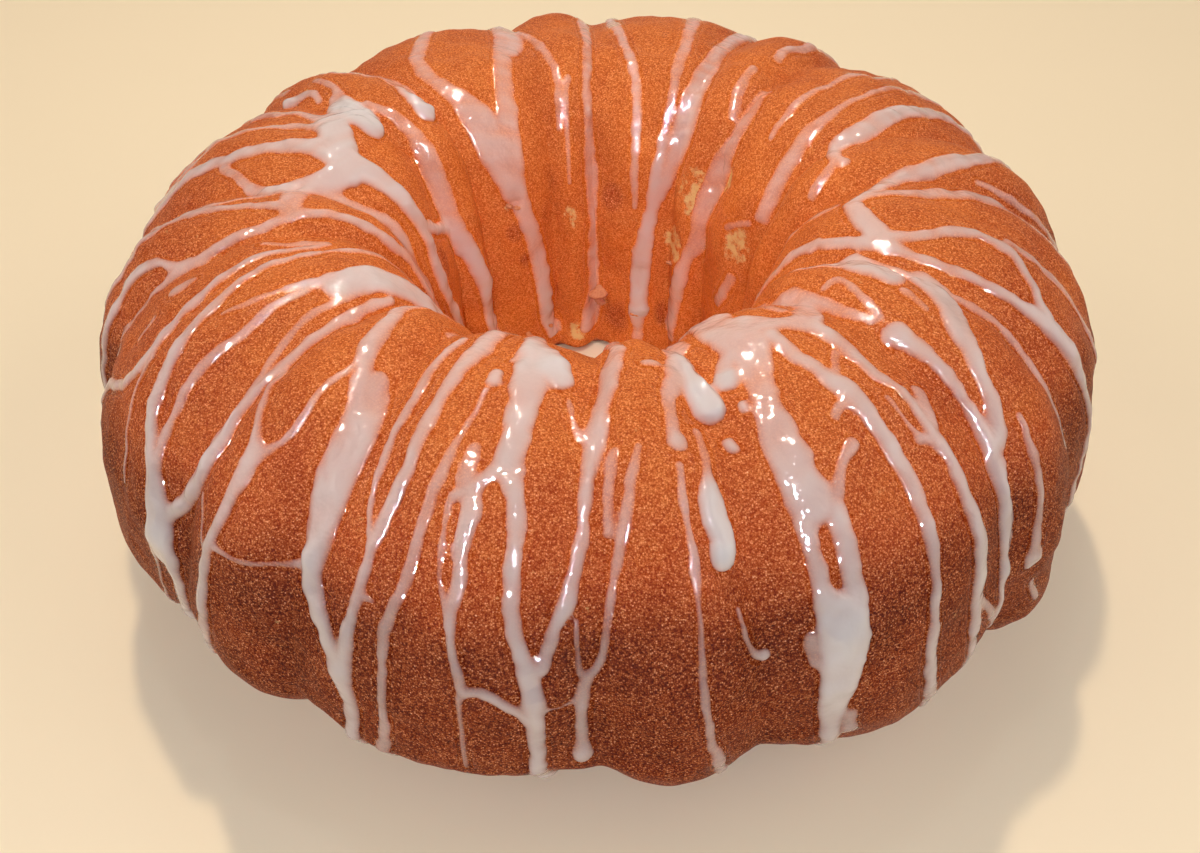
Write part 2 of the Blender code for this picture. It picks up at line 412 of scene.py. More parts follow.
def make_crust_material():
    """Baked batter: domed grains with hardly any shine, smoother where the glaze wetted them, and
    pale ragged crumb where the crust is torn."""
    material, tree, shader = new_material("browned_batter_crust")
    brown_and_shade = add_node(tree, "Attribute", {}, attribute_name="browning_and_shade").outputs["Fac"]
    contrast = add_node(tree, "MapRange", {"Value": brown_and_shade, "From Min": 0.1, "From Max": 0.7,
                                           "To Min": 2.4, "To Max": 4.8})
    skin, height = crust_pattern(tree, contrast.outputs["Result"])
    torn = add_node(tree, "Attribute", {}, attribute_name="torn").outputs["Fac"]
    wet = add_node(tree, "Attribute", {}, attribute_name="wet").outputs["Fac"]
    place = add_node(tree, "TexCoord", {}).outputs["Object"]
    shreds = add_node(tree, "TexNoise", {"Vector": place, "Scale": SHRED_SCALE, "Detail": 4.0,
                                         "Roughness": 0.65})
    ragged = add_node(tree, "Math", {0: shreds.outputs["Fac"], 1: 3.2, 2: torn},
                      operation="MULTIPLY_ADD")
    bare = add_node(tree, "MapRange", {"Value": ragged.outputs[0], "From Min": 2.2, "From Max": 2.7,
                                       "To Max": 0.85})
    crumb = add_node(tree, "Mix", {"Factor": bare.outputs["Result"], "A": skin,
                                   "B": colour(CRUMB_YELLOW)}, data_type="RGBA")
    bump = add_node(tree, "Bump", {"Height": height, "Strength": 0.8, "Distance": 0.3 * MM})
    rough = add_node(tree, "MapRange", {"Value": wet, "To Min": 0.45, "To Max": 0.15})
    tree.links.new(crumb.outputs["Result"], shader.inputs["Base Color"])
    tree.links.new(bump.outputs["Normal"], shader.inputs["Normal"])
    tree.links.new(rough.outputs["Result"], shader.inputs["Roughness"])
    shader.inputs["Specular IOR Level"].default_value = 0.06
    return material


def crust_grid():
    """Angles and stations of the crust's mesh: closer on the skin, wide apart under the foot."""
    skin = np.linspace(HOLE_FOOT_S, EDGE_S, CRUST_SKIN_STEPS)
    under = np.linspace(EDGE_S, FOOT_S, CRUST_FOOT_STEPS + 1)[1:]
    phi = np.arange(CRUST_TURN_STEPS) * 360 / CRUST_TURN_STEPS
    return phi[:, None], np.concatenate([skin, under])[None, :]


def make_crust():
    """The closed skin: stations up the hole, over the crown and under the foot, all the way round."""
    phi, s = crust_grid()
    points, _, smooth = real_skin(phi, s)
    brown_and_shade = browning_and_shade(phi, s, smooth)
    torn = torn_share(phi, s, smooth)

    # The foot's inner ring closes the section from the flat ring back to the hole
    turn = np.radians(phi[:, 0])
    foot = np.stack([FOOT_INNER_RADIUS * np.sin(turn), -FOOT_INNER_RADIUS * np.cos(turn), 0 * turn],
                    axis=-1)
    points = np.concatenate([points, foot[:, None]], axis=1)
    brown_and_shade = np.concatenate([brown_and_shade, np.full((len(turn), 1), FOOT_BROWNING)], axis=1)
    torn = np.concatenate([torn, np.zeros((len(turn), 1))], axis=1)

    turns, stations = points.shape[:2]
    index = np.arange(turns * stations).reshape(turns, stations)
    next_turn = np.roll(index, -1, axis=0)
    next_station = np.roll(index, -1, axis=1)
    corner = np.roll(next_turn, -1, axis=1)
    faces = np.stack([index, next_station, corner, next_turn], axis=-1).reshape(-1, 4)
    piece = mesh_piece("cake_crust", points.reshape(-1, 3), faces, make_crust_material())
    add_attribute(piece, "browning_and_shade", brown_and_shade)
    add_attribute(piece, "torn", torn)
    return piece


cake_crust = make_crust()
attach(cake_crust, "root")
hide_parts("cake")

# --- Glaze ----------------------------------------------------------------------------------------
# Thin icing of sugar and milk, spooned over the crown while the cake was warm. It pooled on top, ran
# down both sides in joining streaks, and set wet-looking: white where thick, see-through where thin.

# How full a streak is, as a share of the depth that its width would hold
FILM = 0.42
THIN = 0.62
FULL = 1.0
RICH = 1.3
HEAVY = 1.7
# How a streak ends: it thins away or joins another, or it stops in a round bead
RUNS_OUT = 0.0
BEAD = 1.0

# Streaks: fullness, points (phi, s, half width in mm) along the middle, and BEAD where one ends so
FRONT_STREAKS = (
    (FULL, ((-52.5, -22, 4), (-53.5, -12, 4), (-53, -5, 3.5))),
    (FULL, ((-55.3, -4, 2), (-56, 0, 1.5), (-56.7, 5, 1))),
    (FILM, ((-57, 7, .6), (-57.8, 14, .8), (-58.5, 19, .5))),
    (THIN, ((-50.6, -4, 1.3), (-50, 3, 1), (-49.3, 8, .9), (-48.5, 13, .8), (-47.5, 18, .7),
     (-46.3, 22.5, .7))),
    (THIN, ((-54.7, 2, .8), (-54.7, 8, 1), (-54.2, 14, 1.1), (-53.7, 20, 1), (-53.3, 28, 1.1),
     (-52.8, 34, 1.1), (-52.2, 40, 1.1), (-51.8, 46, 1.2), (-51.3, 51, 1.2))),
    (FULL, ((-65.5, -6, 1.2), (-65, 3, 1.2), (-63.7, 9, 1.2), (-62, 16, 1.3), (-60.3, 23, 1.3),
     (-58.5, 28, 1.4), (-57.3, 33, 1.5), (-56.2, 38, 1.6), (-55.2, 43, 1.7), (-53.8, 47.5, 1.7),
     (-52.3, 51, 1.8), (-51, 55, 2.2), (-49.8, 60, 3.2), (-48.9, 65, 3.8), (-48.7, 70, 3.8))),
    (THIN, ((-50.2, 71, .9), (-50.4, 80, .6), (-50.5, 88, .6), (-51, 94, .6))),
    (FULL, ((-47.6, 70, 2), (-47.3, 78, 1.8), (-47.6, 86, 1.7), (-48.4, 93, 1.5)), BEAD),
    (FULL, ((-47.3, -14, 1.2), (-46.8, -5, 1.4), (-46.3, 2, 1.4), (-46, 10, 1.2), (-45.7, 16, 1.2),
     (-45.5, 24, 1.4), (-45.2, 32, 1.6), (-44.9, 40, 2.2), (-45, 46, 2.2), (-45.6, 50, 1.8),
     (-46.6, 55, 1.7), (-47.8, 59, 1.8), (-49.2, 62.5, 2))),
    (THIN, ((-45.5, 17.5, .9), (-44, 18.5, .9), (-43, 22, .9), (-41.5, 27, .9), (-40, 31, 1.1),
     (-39, 34, 1.3))),
    (FILM, ((-43, 48, .5), (-41.8, 52, .5), (-40.6, 57, .5))),
    (FULL, ((-41, -10, 1.8), (-38, -4, 1.9), (-36.5, 2, 2), (-35.2, 6, 2), (-34, 9, 1.9),
     (-32.5, 13, 1.9), (-31.5, 17, 1.6))),
    (THIN, ((-35.6, 10, .8), (-36.1, 16, .7), (-36, 22, .7), (-36, 27, .8), (-36.8, 31, 1),
     (-38, 34, 1.2))),
    (FULL, ((-38.7, 34, 1.8), (-38.6, 40, 1.9), (-38.8, 46, 1.6), (-39, 52, 1.4), (-39.5, 57, 1.4),
     (-39.8, 64, 1.6), (-39.7, 71, 1.5), (-40.1, 78, 1.4), (-41, 86, 1.2), (-42, 95, 1))),
    (THIN, ((-38.3, 54.5, .8), (-36, 54.5, .5), (-34.5, 54, .5), (-33, 53, .5), (-31.5, 52, .5),
     (-30, 51, .8))),
    (THIN, ((-31.8, 8, 1.7), (-31, 12, 2.4), (-30, 17, 3.2), (-29.4, 22, 3.7), (-29, 28, 3.8),
     (-28.6, 36, 3.6), (-28.3, 43, 2.9))),
    (FULL, ((-29, 24, 1.8), (-28.8, 30, 2.2), (-28.6, 36, 2.5), (-28.2, 43, 2.7), (-28.3, 48, 2.6),
     (-27.8, 53, 2.5), (-26.3, 58, 2.1), (-24.9, 63, 2.1), (-23.9, 68, 2.2), (-23.4, 74, 2),
     (-23.1, 81, 1.8), (-23.3, 90, 1.6), (-23.6, 101, 1.4))),
    (FULL, ((-25, -10, 1), (-25.3, -3, 1.3), (-25.5, 4, 1.3), (-25.2, 10, 1.2), (-24.9, 16, 1),
     (-24.5, 22, .9), (-24, 28, .8), (-23.5, 34, .6), (-22.6, 39, .6))),
    (FULL, ((-20.5, -16, 2), (-20.2, -8, 2.2), (-20.5, -2, 2.1), (-20.9, 4, 1.6), (-21, 10, 1.4),
     (-20.9, 18, 1.4), (-20.8, 26, 1.3), (-21.2, 32, 1.3), (-21.6, 38, 1.3), (-22, 44, 1.2),
     (-22.2, 50, 1.2), (-22.6, 56, 1.2), (-23, 62, 1.5), (-23.3, 66, 1.7), (-23.6, 70, 1.8))),
    (THIN, ((-21.8, 50.5, .6), (-20.6, 51, .4))),
    (FULL, ((-15, 0.5, 1.2), (-15, 3, 1.2)), BEAD),
    (THIN, ((-15.3, 6, .6), (-15.6, 12, .5), (-16.3, 18, .7), (-17, 25, 1), (-17.3, 29, 1.2),
     (-17.4, 35, 1), (-17.5, 41, 1.1), (-17.8, 46, 1), (-18.3, 50, 1), (-19, 54, 1.2), (-19.3, 58, 1.1),
     (-19.4, 66, 1), (-19.4, 74, 1.1), (-19.5, 82, 1.3), (-20, 90, 1.4), (-20.3, 98, 1.2))),
    (FULL, ((-13, -20, 1.6), (-11.5, -14, 2.6), (-10.3, -6, 3.6), (-9.9, 0, 3.4), (-9.8, 7, 2.9),
     (-9.8, 14, 2.5), (-9.9, 21, 2.4))),
    (RICH, ((-9.5, -9, 3.4), (-8, -5.5, 3.8), (-6.8, -3, 3.4), (-5.6, -1, 2.6))),
    (THIN, ((-12.5, -7, 1), (-14.2, -5, .5))),
    (FULL, ((-10.8, 22.5, 1.4), (-12.2, 24.5, 1.2), (-13.5, 27, 1.5), (-15, 28.5, 1))),
    (FULL, ((-13.2, 28, 1.6), (-12.7, 31, 1.7), (-13, 36, 1.4), (-12.8, 42, 1.3), (-12.8, 46, 1.2),
     (-13.2, 49, 1.1), (-13, 52, 1), (-12.6, 57, .9), (-12, 61, .9), (-11.7, 64.5, 1.1),
     (-10.4, 64.6, 1.1), (-9, 66, 1.1), (-7.6, 68.3, 1.2), (-6.3, 70.5, 1.3))),
    (FILM, ((-12, 66, .5), (-12, 72, .5), (-11.9, 80, .5), (-11.9, 86, .5))),
    (FILM, ((-15.3, 30, .6), (-15, 36, .6), (-14.7, 42, .5), (-14.2, 46, .5), (-13.5, 48.5, .5))),
    (FILM, ((-14.2, 19, 1.2), (-14.2, 25, 1.6))),
    (FULL, ((-9.6, 22, 2), (-8.6, 27, 1.6), (-8, 32, 1.5), (-7.9, 38, 1.4), (-7.9, 44, 1.4),
     (-7.7, 50, 1.4), (-7.1, 55, 1.5), (-6.2, 60, 2), (-5.8, 66, 2), (-5.7, 72, 1.8), (-5.6, 79, 1.6),
     (-5.6, 86, 1.6), (-5.8, 93, 1.7), (-5.9, 99, 1.6)), BEAD),
    (FULL, ((4.3, -12, 1.6), (3.2, -6, 1.9), (2, 0, 1.9), (.9, 6, 1.8), (.1, 12, 2), (-.6, 18, 1.5),
     (-1.1, 24, 1.2), (-1.3, 30, 1.1), (-1.7, 36, 1.1), (-2.3, 42, 1.2), (-3, 47, 1.6), (-3.8, 51, 1.3),
     (-4.4, 55, 1.3), (-5.1, 59.5, 1.5))),
    (FILM, ((-3.7, 4, .6), (-2.8, 9, .6), (-2, 13, .8))),
    (THIN, ((5, 17, .7), (4, 22, .9), (3.3, 28, .9), (2.6, 33, 1), (1.8, 38, .9), (1.2, 44, .8),
     (.9, 50, .8), (.5, 55, .8), (-.2, 60, .9), (-1.1, 62.5, 1.2), (-1.5, 67, 1.3), (-1.6, 73, 1.2),
     (-1.6, 79, 1.3), (-1.6, 84, 1.5)), BEAD),
    (FILM, ((2, 17, 1), (1.3, 25, 1), (1.2, 33, .9))),
    (FILM, ((-2, 50, .5), (-1.9, 56, .5), (-1.7, 61, .6))),
    (FILM, ((-4.8, 69, .4), (-3.5, 68.7, .3), (-2.3, 67.5, .4))),
    (FULL, ((8.3, -4, 1), (9.5, -4, 1.6))),
    (HEAVY, ((15, -12, 1.6), (14.6, -6, 2), (14.7, 0, 2.4), (15.2, 5, 2.8), (15.6, 9, 2.9))),
    (THIN, ((13.6, -6, 1.5), (12.6, 0, 2), (11.3, 3, 1.8), (10.4, 6, 1.4), (9.9, 11, 1.2),
     (9.6, 17, 1.3)), BEAD),
    (THIN, ((9.2, 22, .7), (9, 28, .7), (9, 33, .5), (9.1, 40, 1), (9, 46, .5), (9, 52, .5),
     (8.9, 58, .7), (8.9, 66, .9), (9.2, 72, .8), (9.6, 79, .9), (10.3, 84, 1.2), (10.9, 92, 1.3),
     (11.2, 100, 1.2))),
    (FULL, ((19.6, 11, .7), (19.6, 12, .7)), BEAD),
    (FULL, ((16.2, 17.6, .9), (16.4, 19, .9)), BEAD),
    (FILM, ((12.8, 14, .7), (12.5, 20, .8), (12, 25, 1))),
    (HEAVY, ((12, 27, 1.6), (11.9, 31, 2.3), (12.2, 36, 2), (12, 40, 1.7)), BEAD),
    (THIN, ((12.6, 50, .4), (13, 55, .6), (13.6, 59, .6), (14.2, 61.3, .8), (14.8, 62, 1.1)), BEAD),
    (THIN, ((27, -20, 4), (25, -12, 4.5), (25.5, -3, 4.5), (24, 4, 3.2))),
    (FULL, ((23, -2, 2.4), (21, 0, 2), (19.6, 4, 1.8)), BEAD),
    (THIN, ((24, 4, 3), (23, 10, 2.4), (22.3, 15, 2.6), (21.9, 22, 3.4), (21.9, 29, 3.4),
     (22.2, 34, 4))),
    (FULL, ((20.9, 37, 1.8), (20.8, 45, 1.6), (21, 54, 2))),
    (FULL, ((24.2, 37, 1.8), (24, 45, 2), (24, 54, 2))),
    (FULL, ((22.3, 57, 4.6), (22.1, 63, 4.6), (21.9, 70, 4), (21.5, 77, 3.4), (21.3, 84, 2.4),
     (21.6, 92, 2), (21.8, 100, 1.6))),
    (FILM, ((23.2, 84, 1.5), (23.6, 91, 1.5))),
    (FILM, ((19.2, 60, 1.3), (19.5, 66, 1.3))),
    (FILM, ((17, -18, 1.6), (17, -13, 1.6))),
    (THIN, ((25, 34, 1.2), (26, 31, 1), (27.5, 28.5, 1.1), (29, 27, 1.3))),
    (FULL, ((30.2, -2, 2.2), (30.8, 5, 1.8), (31.8, 11, 1.8), (32.8, 17, 2.2), (33, 24, 1.6),
     (33.2, 31, 1.7), (33.3, 38, 1.6), (33.2, 44, 1.5), (32.9, 50, 1.4), (32.6, 56, 1.2),
     (32.2, 61, 1.2), (31.8, 66, 1.3), (31.5, 72, 1.6), (31.6, 79, 1.7), (32.1, 86, 1.6),
     (32.9, 93, 1.4), (33.2, 100, 1.2))),
    (THIN, ((32, 19, 1.1), (30.6, 19, .9), (29.3, 20.5, .8))),
    (FILM, ((36.5, 8, .8), (35, 10, .9), (33.8, 12, .9))),
    (THIN, ((28, -10, 4.5), (31, -7, 3.6), (34.5, -5, 2.6), (38, -3, 3.4), (41, -5, 3), (44, -9, 2.6),
     (46, -15, 2))),
    (FULL, ((38.5, 0, 2.2), (38.7, 6, 1.8), (38.5, 12, 1.7), (38.4, 17, 1.6), (39, 22, 1.2),
     (39.2, 27, 1.2), (39, 33, 1.6), (39, 39, 1.3), (38.9, 45, 1.6), (39, 52, 1.9), (38.9, 59, 2.1),
     (38.7, 66, 2.3), (38.4, 73, 2), (38.2, 80, 1.6), (38.6, 88, 1.4), (38.8, 97, 1.2))),
    (THIN, ((37, 32, .8), (38.3, 33, 1))),
    (THIN, ((41.8, 24, 1.4), (41, 27, 1.4), (39.9, 31, 1.4))),
    (FILM, ((36.5, 22, .5), (36.7, 28, .5), (37.2, 31.5, .6))),
    (THIN, ((39, 72, 1), (40.5, 78, 1), (41.8, 84, 1))),
    (THIN, ((45.5, -18, 1.5), (46, -8, 1.5), (46.1, 0, 1.2), (46.8, 6, 1))),
    (FULL, ((46.9, 12, 2.4), (47.3, 17, 1.8), (47.1, 23, 1.3), (46.6, 29, 1.2), (46.2, 35, 1.2),
     (45.9, 41, 2), (45.3, 46, 2.2), (45, 52, 2), (44.7, 59, 2.4), (44.4, 66, 2.4), (43.8, 72, 2),
     (42.8, 79, 1.5), (42.4, 87, 1.2))),
    (THIN, ((49, -8, .8), (51, -7, 1), (51.2, -4, 1), (50.3, -1, 1), (49, 3, 1), (47.8, 7, 1))),
    (FULL, ((60.5, 9, 3), (58.5, 14, 3), (56, 17.5, 2.8), (54, 20, 2.6), (52.5, 23, 2.2), (51, 27, 1.9),
     (49.8, 31, 1.6), (49, 35, 1.6), (48, 39, 1.7), (46.8, 43, 2))),
    (FULL, ((60, -8, 3.5), (58, -2, 4), (57, 3, 3))),
    (FILM, ((54.5, 7, .9), (53.5, 13, .9))),
    (THIN, ((50.6, 42, .8), (50, 48, 1), (49.6, 54, 1.1), (49.3, 60, 1.1), (48.9, 66, 1.1),
     (48.4, 72, 1.3), (48.4, 77, 1.7)), BEAD),
    (THIN, ((49.5, 86, .8), (50.5, 93, .9))),
)

SIDE_STREAKS = (
    (FULL, ((-69.8, -9, 1.2), (-68.6, 0, 1.3), (-68.2, 6, 1.3), (-67, 12, 1.3), (-65.8, 18, 1.3),
     (-64.5, 24, 1.3), (-63, 30, 1.3), (-61.6, 35, 1.4), (-61.4, 40, 1.3), (-62.6, 46, 1.3),
     (-64.6, 50, 1.2), (-66.6, 53, 1.2), (-68, 60, 1), (-68.6, 70, 1), (-69, 82, 1.1))),
    (THIN, ((-60.3, 36, .6), (-60, 41, .5), (-59, 47, .5), (-58.3, 53, .6), (-57, 58, .5),
     (-56, 63, .5))),
    (FILM, ((-70.5, -8, 1.2), (-71.6, -2, 1.5), (-72.6, 5, 1.3))),
    (THIN, ((-70.3, 23, 1.2), (-69.5, 27, 1.6))),
    (FILM, ((-67.6, 34, .7), (-67.1, 40, .6))),
    (FILM, ((-75.2, 20, .9), (-74.8, 35, 1), (-74, 45, 1), (-73.2, 60, .9), (-73, 76, .9))),
    (FULL, ((-80, -28, 1.3), (-79.7, -15, 1.3), (-78.8, -5, 1.2), (-77.6, 4, 1.2), (-76.9, 10, 1.1),
     (-76, 17, 1), (-75.6, 23, 1), (-76.4, 28, 1), (-78, 31, 1), (-79, 35, 1.4), (-79.4, 41, 1.5),
     (-78.6, 48, 1.4), (-77.8, 55, 1.2), (-77.2, 62, 1), (-76.9, 70, 1), (-77, 84, 1.1),
     (-77.4, 96, 1.1))),
    (FULL, ((-76, 24, .9), (-75.5, 29, .9), (-74.7, 34, .9), (-74.4, 42, .8), (-74.8, 52, .8))),
    (FULL, ((-97.5, -12, 4), (-93.5, -9, 3.4), (-91, -4, 3.2), (-89.5, 2, 3.2), (-90, 7, 2.2),
     (-91, 10, 1.4))),
    (THIN, ((-91, 10, 1.2), (-93, 13, 1.1), (-95, 16, 1.1), (-97.3, 20, 1.3))),
    (FILM, ((-86, -2, 3), (-82, -2, 2.6), (-79.5, -2, 2))),
    (FULL, ((-80.5, -1, 1), (-82.3, 4, 1.1), (-83.7, 9, 1.2), (-84.5, 15, 1.3), (-85, 21, 1.3),
     (-85.6, 26, 1.2), (-85, 32, 1.1), (-84, 38, 1.1), (-83, 46, 1.1), (-82.5, 58, 1), (-82.6, 72, 1))),
    (THIN, ((-87.5, 4, 1), (-87.5, 11, .9), (-86.6, 17, 1), (-85.2, 22, 1.2))),
    (FULL, ((78, -11, 2.2), (74, -9, 2.6), (70.5, -6, 2.8), (67.5, -3.5, 2.8), (65.5, -1, 2))),
    (FULL, ((71, -28, 1.4), (69, -21, 1.6), (67, -14, 1.6), (66, -7, 1.8), (65.5, 0, 1.8),
     (65.3, 8, 1.3), (65.3, 16, 1.2), (65.3, 24, 1.2), (65.5, 30, 1.3), (66, 37, 2), (66.3, 44, 2.2),
     (66.3, 50, 1.8), (66.7, 57, 1.6), (67, 66, 1.4), (66.8, 76, 1.2), (66.4, 88, 1.2))),
    (FULL, ((68.6, -2, 2), (69.8, 4, 1.5), (71.5, 8, 1.4), (73.5, 12, 1.5), (74.3, 17, 1.4),
     (73.5, 23, 1.3), (72, 27, 1.3), (70, 31, 1.3), (68.3, 34, 1.4), (67, 38, 1.4))),
    (THIN, ((80.5, -10, 1.2), (82.5, -4, 1.4), (84, 2, 1.6), (85.6, 9, 2), (86.6, 15, 2.2), (87, 22, 2),
     (86, 30, 1.6), (84.5, 38, 1.2), (83, 50, 1.1), (82.2, 66, 1))),
    (THIN, ((60.8, -10, .8), (61, 0, .9), (61, 12, .9), (61, 24, .9), (60.6, 36, .9), (60.3, 48, .8),
     (60.2, 60, .8), (60.3, 76, .8))),
    (FILM, ((91.6, 22, .8), (91.2, 30, .8), (91.4, 40, .8), (92.2, 52, .7))),
    (FILM, ((93, -22, 1), (96, -16, 1.2), (99, -12, 1.2))),
)

BACK_STREAKS = (
    (FULL, ((-101, -10, 4), (-102, -3, 3), (-102, 3, 2.6), (-101.3, 9, 2.2), (-100.4, 15, 2),
     (-99.3, 20, 1.8), (-98.5, 27, 1.8), (-97.8, 34, 1.8), (-97, 42, 1.6), (-96, 50, 1.4),
     (-95.5, 62, 1.2))),
    (FULL, ((-101, -12, 4), (-101.5, -22, 3), (-102.3, -32, 2.5), (-102.5, -40, 2.2), (-100.5, -47, 2),
     (-101, -54, 1.9), (-103.5, -61, 1.8), (-107, -70, 1.8), (-110, -80, 1.6))),
    (FULL, ((-103, -37, 1.8), (-107, -39, 1.7), (-112, -42, 1.6), (-117, -44, 1.6), (-121, -46, 1.8))),
    (RICH, ((-122, 9, 1.6), (-120.6, 5, 3.4), (-119, 0, 4.4), (-117.6, -5, 4.6), (-116.6, -9, 3.8))),
    (FULL, ((-118, 2, 3.5), (-114, 1, 4), (-110.5, -2, 4), (-106.5, -6, 4), (-102.5, -9.5, 4),
     (-99, -12, 4))),
    (FULL, ((-121.5, 14, .8), (-123, 18, 1), (-122.5, 22, 1.3), (-121, 25, 1.6)), BEAD),
    (THIN, ((-121.5, 6, 1.8), (-124, 10, 1.2), (-125.3, 14, .9), (-126, 22, .7))),
    (THIN, ((-114, 3, 2.5), (-115, 9, 1.6), (-115.3, 14, 1.3), (-114.8, 20, 1.2), (-113.5, 26, 1.2))),
    (THIN, ((-109.5, 1, 2), (-109.8, 8, 1.6), (-109, 14, 1.3), (-107.5, 20, 1.3), (-105.5, 27, 1.3),
     (-103.8, 34, 1.2), (-102.5, 42, 1.2))),
    (FILM, ((-123, -2, 1), (-124, -14, 1.6), (-123, -25, 2.2), (-121.5, -36, 2.2), (-121, -46, 1.8))),
    (FULL, ((-121, -44, 2), (-122.3, -50, 2.2), (-126, -60, 2.2), (-128.7, -70, 2.2),
     (-131.3, -80, 2.4), (-134, -89, 2.6), (-136, -97, 2.4))),
    (HEAVY, ((-132.5, -4, 1.6), (-131.8, -9, 2.3), (-131.4, -15, 2.6))),
    (FILM, ((-133, -6, 2.4), (-134, 2, 2), (-133, 10, 1.6))),
    (FILM, ((-150, 22, 1.4), (-146, 14, 1.8), (-142, 6, 2), (-140.7, -2, 2), (-141.5, -11, 2.2),
     (-144.5, -22, 4), (-147, -34, 4.5), (-149, -44, 3.2))),
    (THIN, ((-148.5, -42, 3), (-152.5, -54, 2.4), (-155.5, -64, 2.4), (-157.5, -74, 2.4))),
    (FULL, ((-157.5, -74, 2.2), (-158.5, -84, 2.2), (-160.5, -93, 2.2), (-163, -100, 1.8))),
    (THIN, ((-164, 14, 2.6), (-163, 6, 3), (-161.5, 0, 2.6))),
    (FILM, ((-163, 18, 2.6), (-162, 8, 2.8), (-160, 0, 2.4), (-157.5, -8, 2.4), (-155, -18, 2.6),
     (-152, -28, 3.2), (-150, -38, 3))),
    (FILM, ((-165.5, 14, .8), (-167.5, 4, 1), (-169, -6, 1.1), (-170.5, -14, 1.1), (-170, -24, .9),
     (-169, -30, .6))),
    (FILM, ((-173.5, -16, .9), (-172, -22, .9), (-171, -45, .5))),
    (THIN, ((-178.5, 18, 1.2), (-179, 5, 1.3), (-179, -8, 1.3), (-178.5, -20, 1.2), (-179, -35, 1.1),
     (-179.5, -50, 1.2), (-179.5, -65, 1.4), (-179.5, -80, 1.6), (-178.5, -89, 2.2), (-177, -98, 2.2))),
    (THIN, ((176, 20, 1.3), (174.7, 9, 1.4), (172.3, -2, 1.3), (169.8, -10, 1.4), (167.3, -18, 1.3),
     (165.3, -28, 1.2), (164.3, -40, 1.2), (163.5, -52, .9))),
    (FILM, ((161, 22, 1.6), (159.6, 9, 1.6), (158.2, -2, 1.6), (157.5, -12, 1.4), (156.3, -22, 1.1),
     (155.8, -32, 1.2))),
    (FULL, ((155.8, -32, 1.3), (156.3, -42, 1.7), (156.8, -52, 1.8), (158.5, -60, 2), (160, -68, 2.6),
     (160.8, -78, 2.6), (161.5, -89, 2.2)), BEAD),
    (FILM, ((161.7, -92, 1.8), (161.7, -100, 1.6))),
    (THIN, ((152.3, 26, 2), (152.2, 12, 1.8), (151.3, -4, 2.2), (150.7, -18, 2.8), (150.8, -30, 2.8),
     (152.6, -40, 2), (155, -48, 1.6))),
    (THIN, ((137, -58, 1.4), (140.5, -66, 1.8), (143, -75, 2.2), (146, -85, 2.4), (148, -96, 2.2))),
    (FILM, ((134, -8, 1.6), (133, -22, 2.4), (134, -35, 2.6), (136.5, -50, 2), (137, -62, 1.4))),
    (FILM, ((140.5, -3, 1.2), (139.5, -12, 1.4), (137, -20, 1.2))),
    (FILM, ((125.5, 14, .9), (124.3, 2, 1), (123, -10, 1.2), (121.5, -20, 1))),
    (FILM, ((119.5, 30, 1), (118.5, 16, 1), (116, 0, 1), (113, -12, 2), (110, -26, 2.2),
     (108.5, -38, 1.8))),
    (FILM, ((112, -42, .8), (116, -44, .9), (121, -47, .8))),
    (FILM, ((113.5, -60, 1.4), (117, -67, 1.6), (121, -72, 1.4))),
    (FULL, ((97, -11, 1.4), (101, -12, 1.6), (105.3, -10, 2.4), (107.3, -2, 2.8), (109.3, 5, 2.6),
     (111, 12, 2.4), (111.6, 20, 2.2), (112, 30, 1.6))),
    (FULL, ((80, -12, 1.8), (84, -7, 2), (88, -3, 2.4), (90.6, 2, 2.2), (91.8, 8, 2), (93.6, 13, 2.2),
     (95.3, 19, 2), (97.2, 26, 1.8), (99, 33, 1.6), (101, 42, 1.4))),
)

# Streaks that carry on where they were left, by where they start: phi, s, half width and the s where
# they end. They wander with a seed of their own.
CARRIED_ON = (
    (-99, 38, 1.6, 112, FULL), (-113.5, 18, .9, 66, FILM), (-124.5, 32, .8, 84, FILM),
    (-133, 10, 1.6, 92, THIN), (-150, 22, 1.5, 104, THIN), (-163.5, 18, 2.2, 96, FULL),
    (-178.5, 18, 1.3, 118, THIN), (176, 20, 1.4, 74, FULL), (161, 22, 1.7, 110, FULL),
    (152.3, 26, 1.9, 88, FULL), (139, 6, 1.3, 101, THIN), (125.5, 14, 1.1, 70, THIN),
    (119.5, 30, 1.1, 95, THIN), (112, 30, 1.7, 116, FULL), (101, 42, 1.5, 108, FULL),
    (92.2, 52, .9, 80, THIN), (-68.6, 80, 1.1, 112, FULL), (66.5, 86, 1.2, 114, FULL),
    (-87.5, 30, 1.3, 100, THIN), (-106, 30, 1.3, 90, THIN), (75, 24, 1.1, 96, THIN),
)
CARRIED_IN = (
    (-52.5, -22, 3.0, -78, FULL), (-41, -12, 1.5, -58, THIN), (-20.5, -16, 1.9, -92, FULL),
    (-13, -20, 1.6, -52, THIN), (4.3, -12, 1.6, -101, FULL), (15.2, -13, 1.4, -66, FULL),
    (27, -20, 3.4, -88, FULL), (46, -16, 1.7, -70, THIN), (60, -10, 2.6, -96, FULL),
    (-65.5, -8, 1.2, -84, THIN), (71, -28, 1.4, -94, THIN), (-80, -28, 1.3, -74, THIN),
    (-30, -14, 1.2, -46, FILM), (38, -10, 1.2, -60, FILM), (-91, -8, 1.8, -90, THIN),
    (84, -16, 1.3, -84, FILM),
)

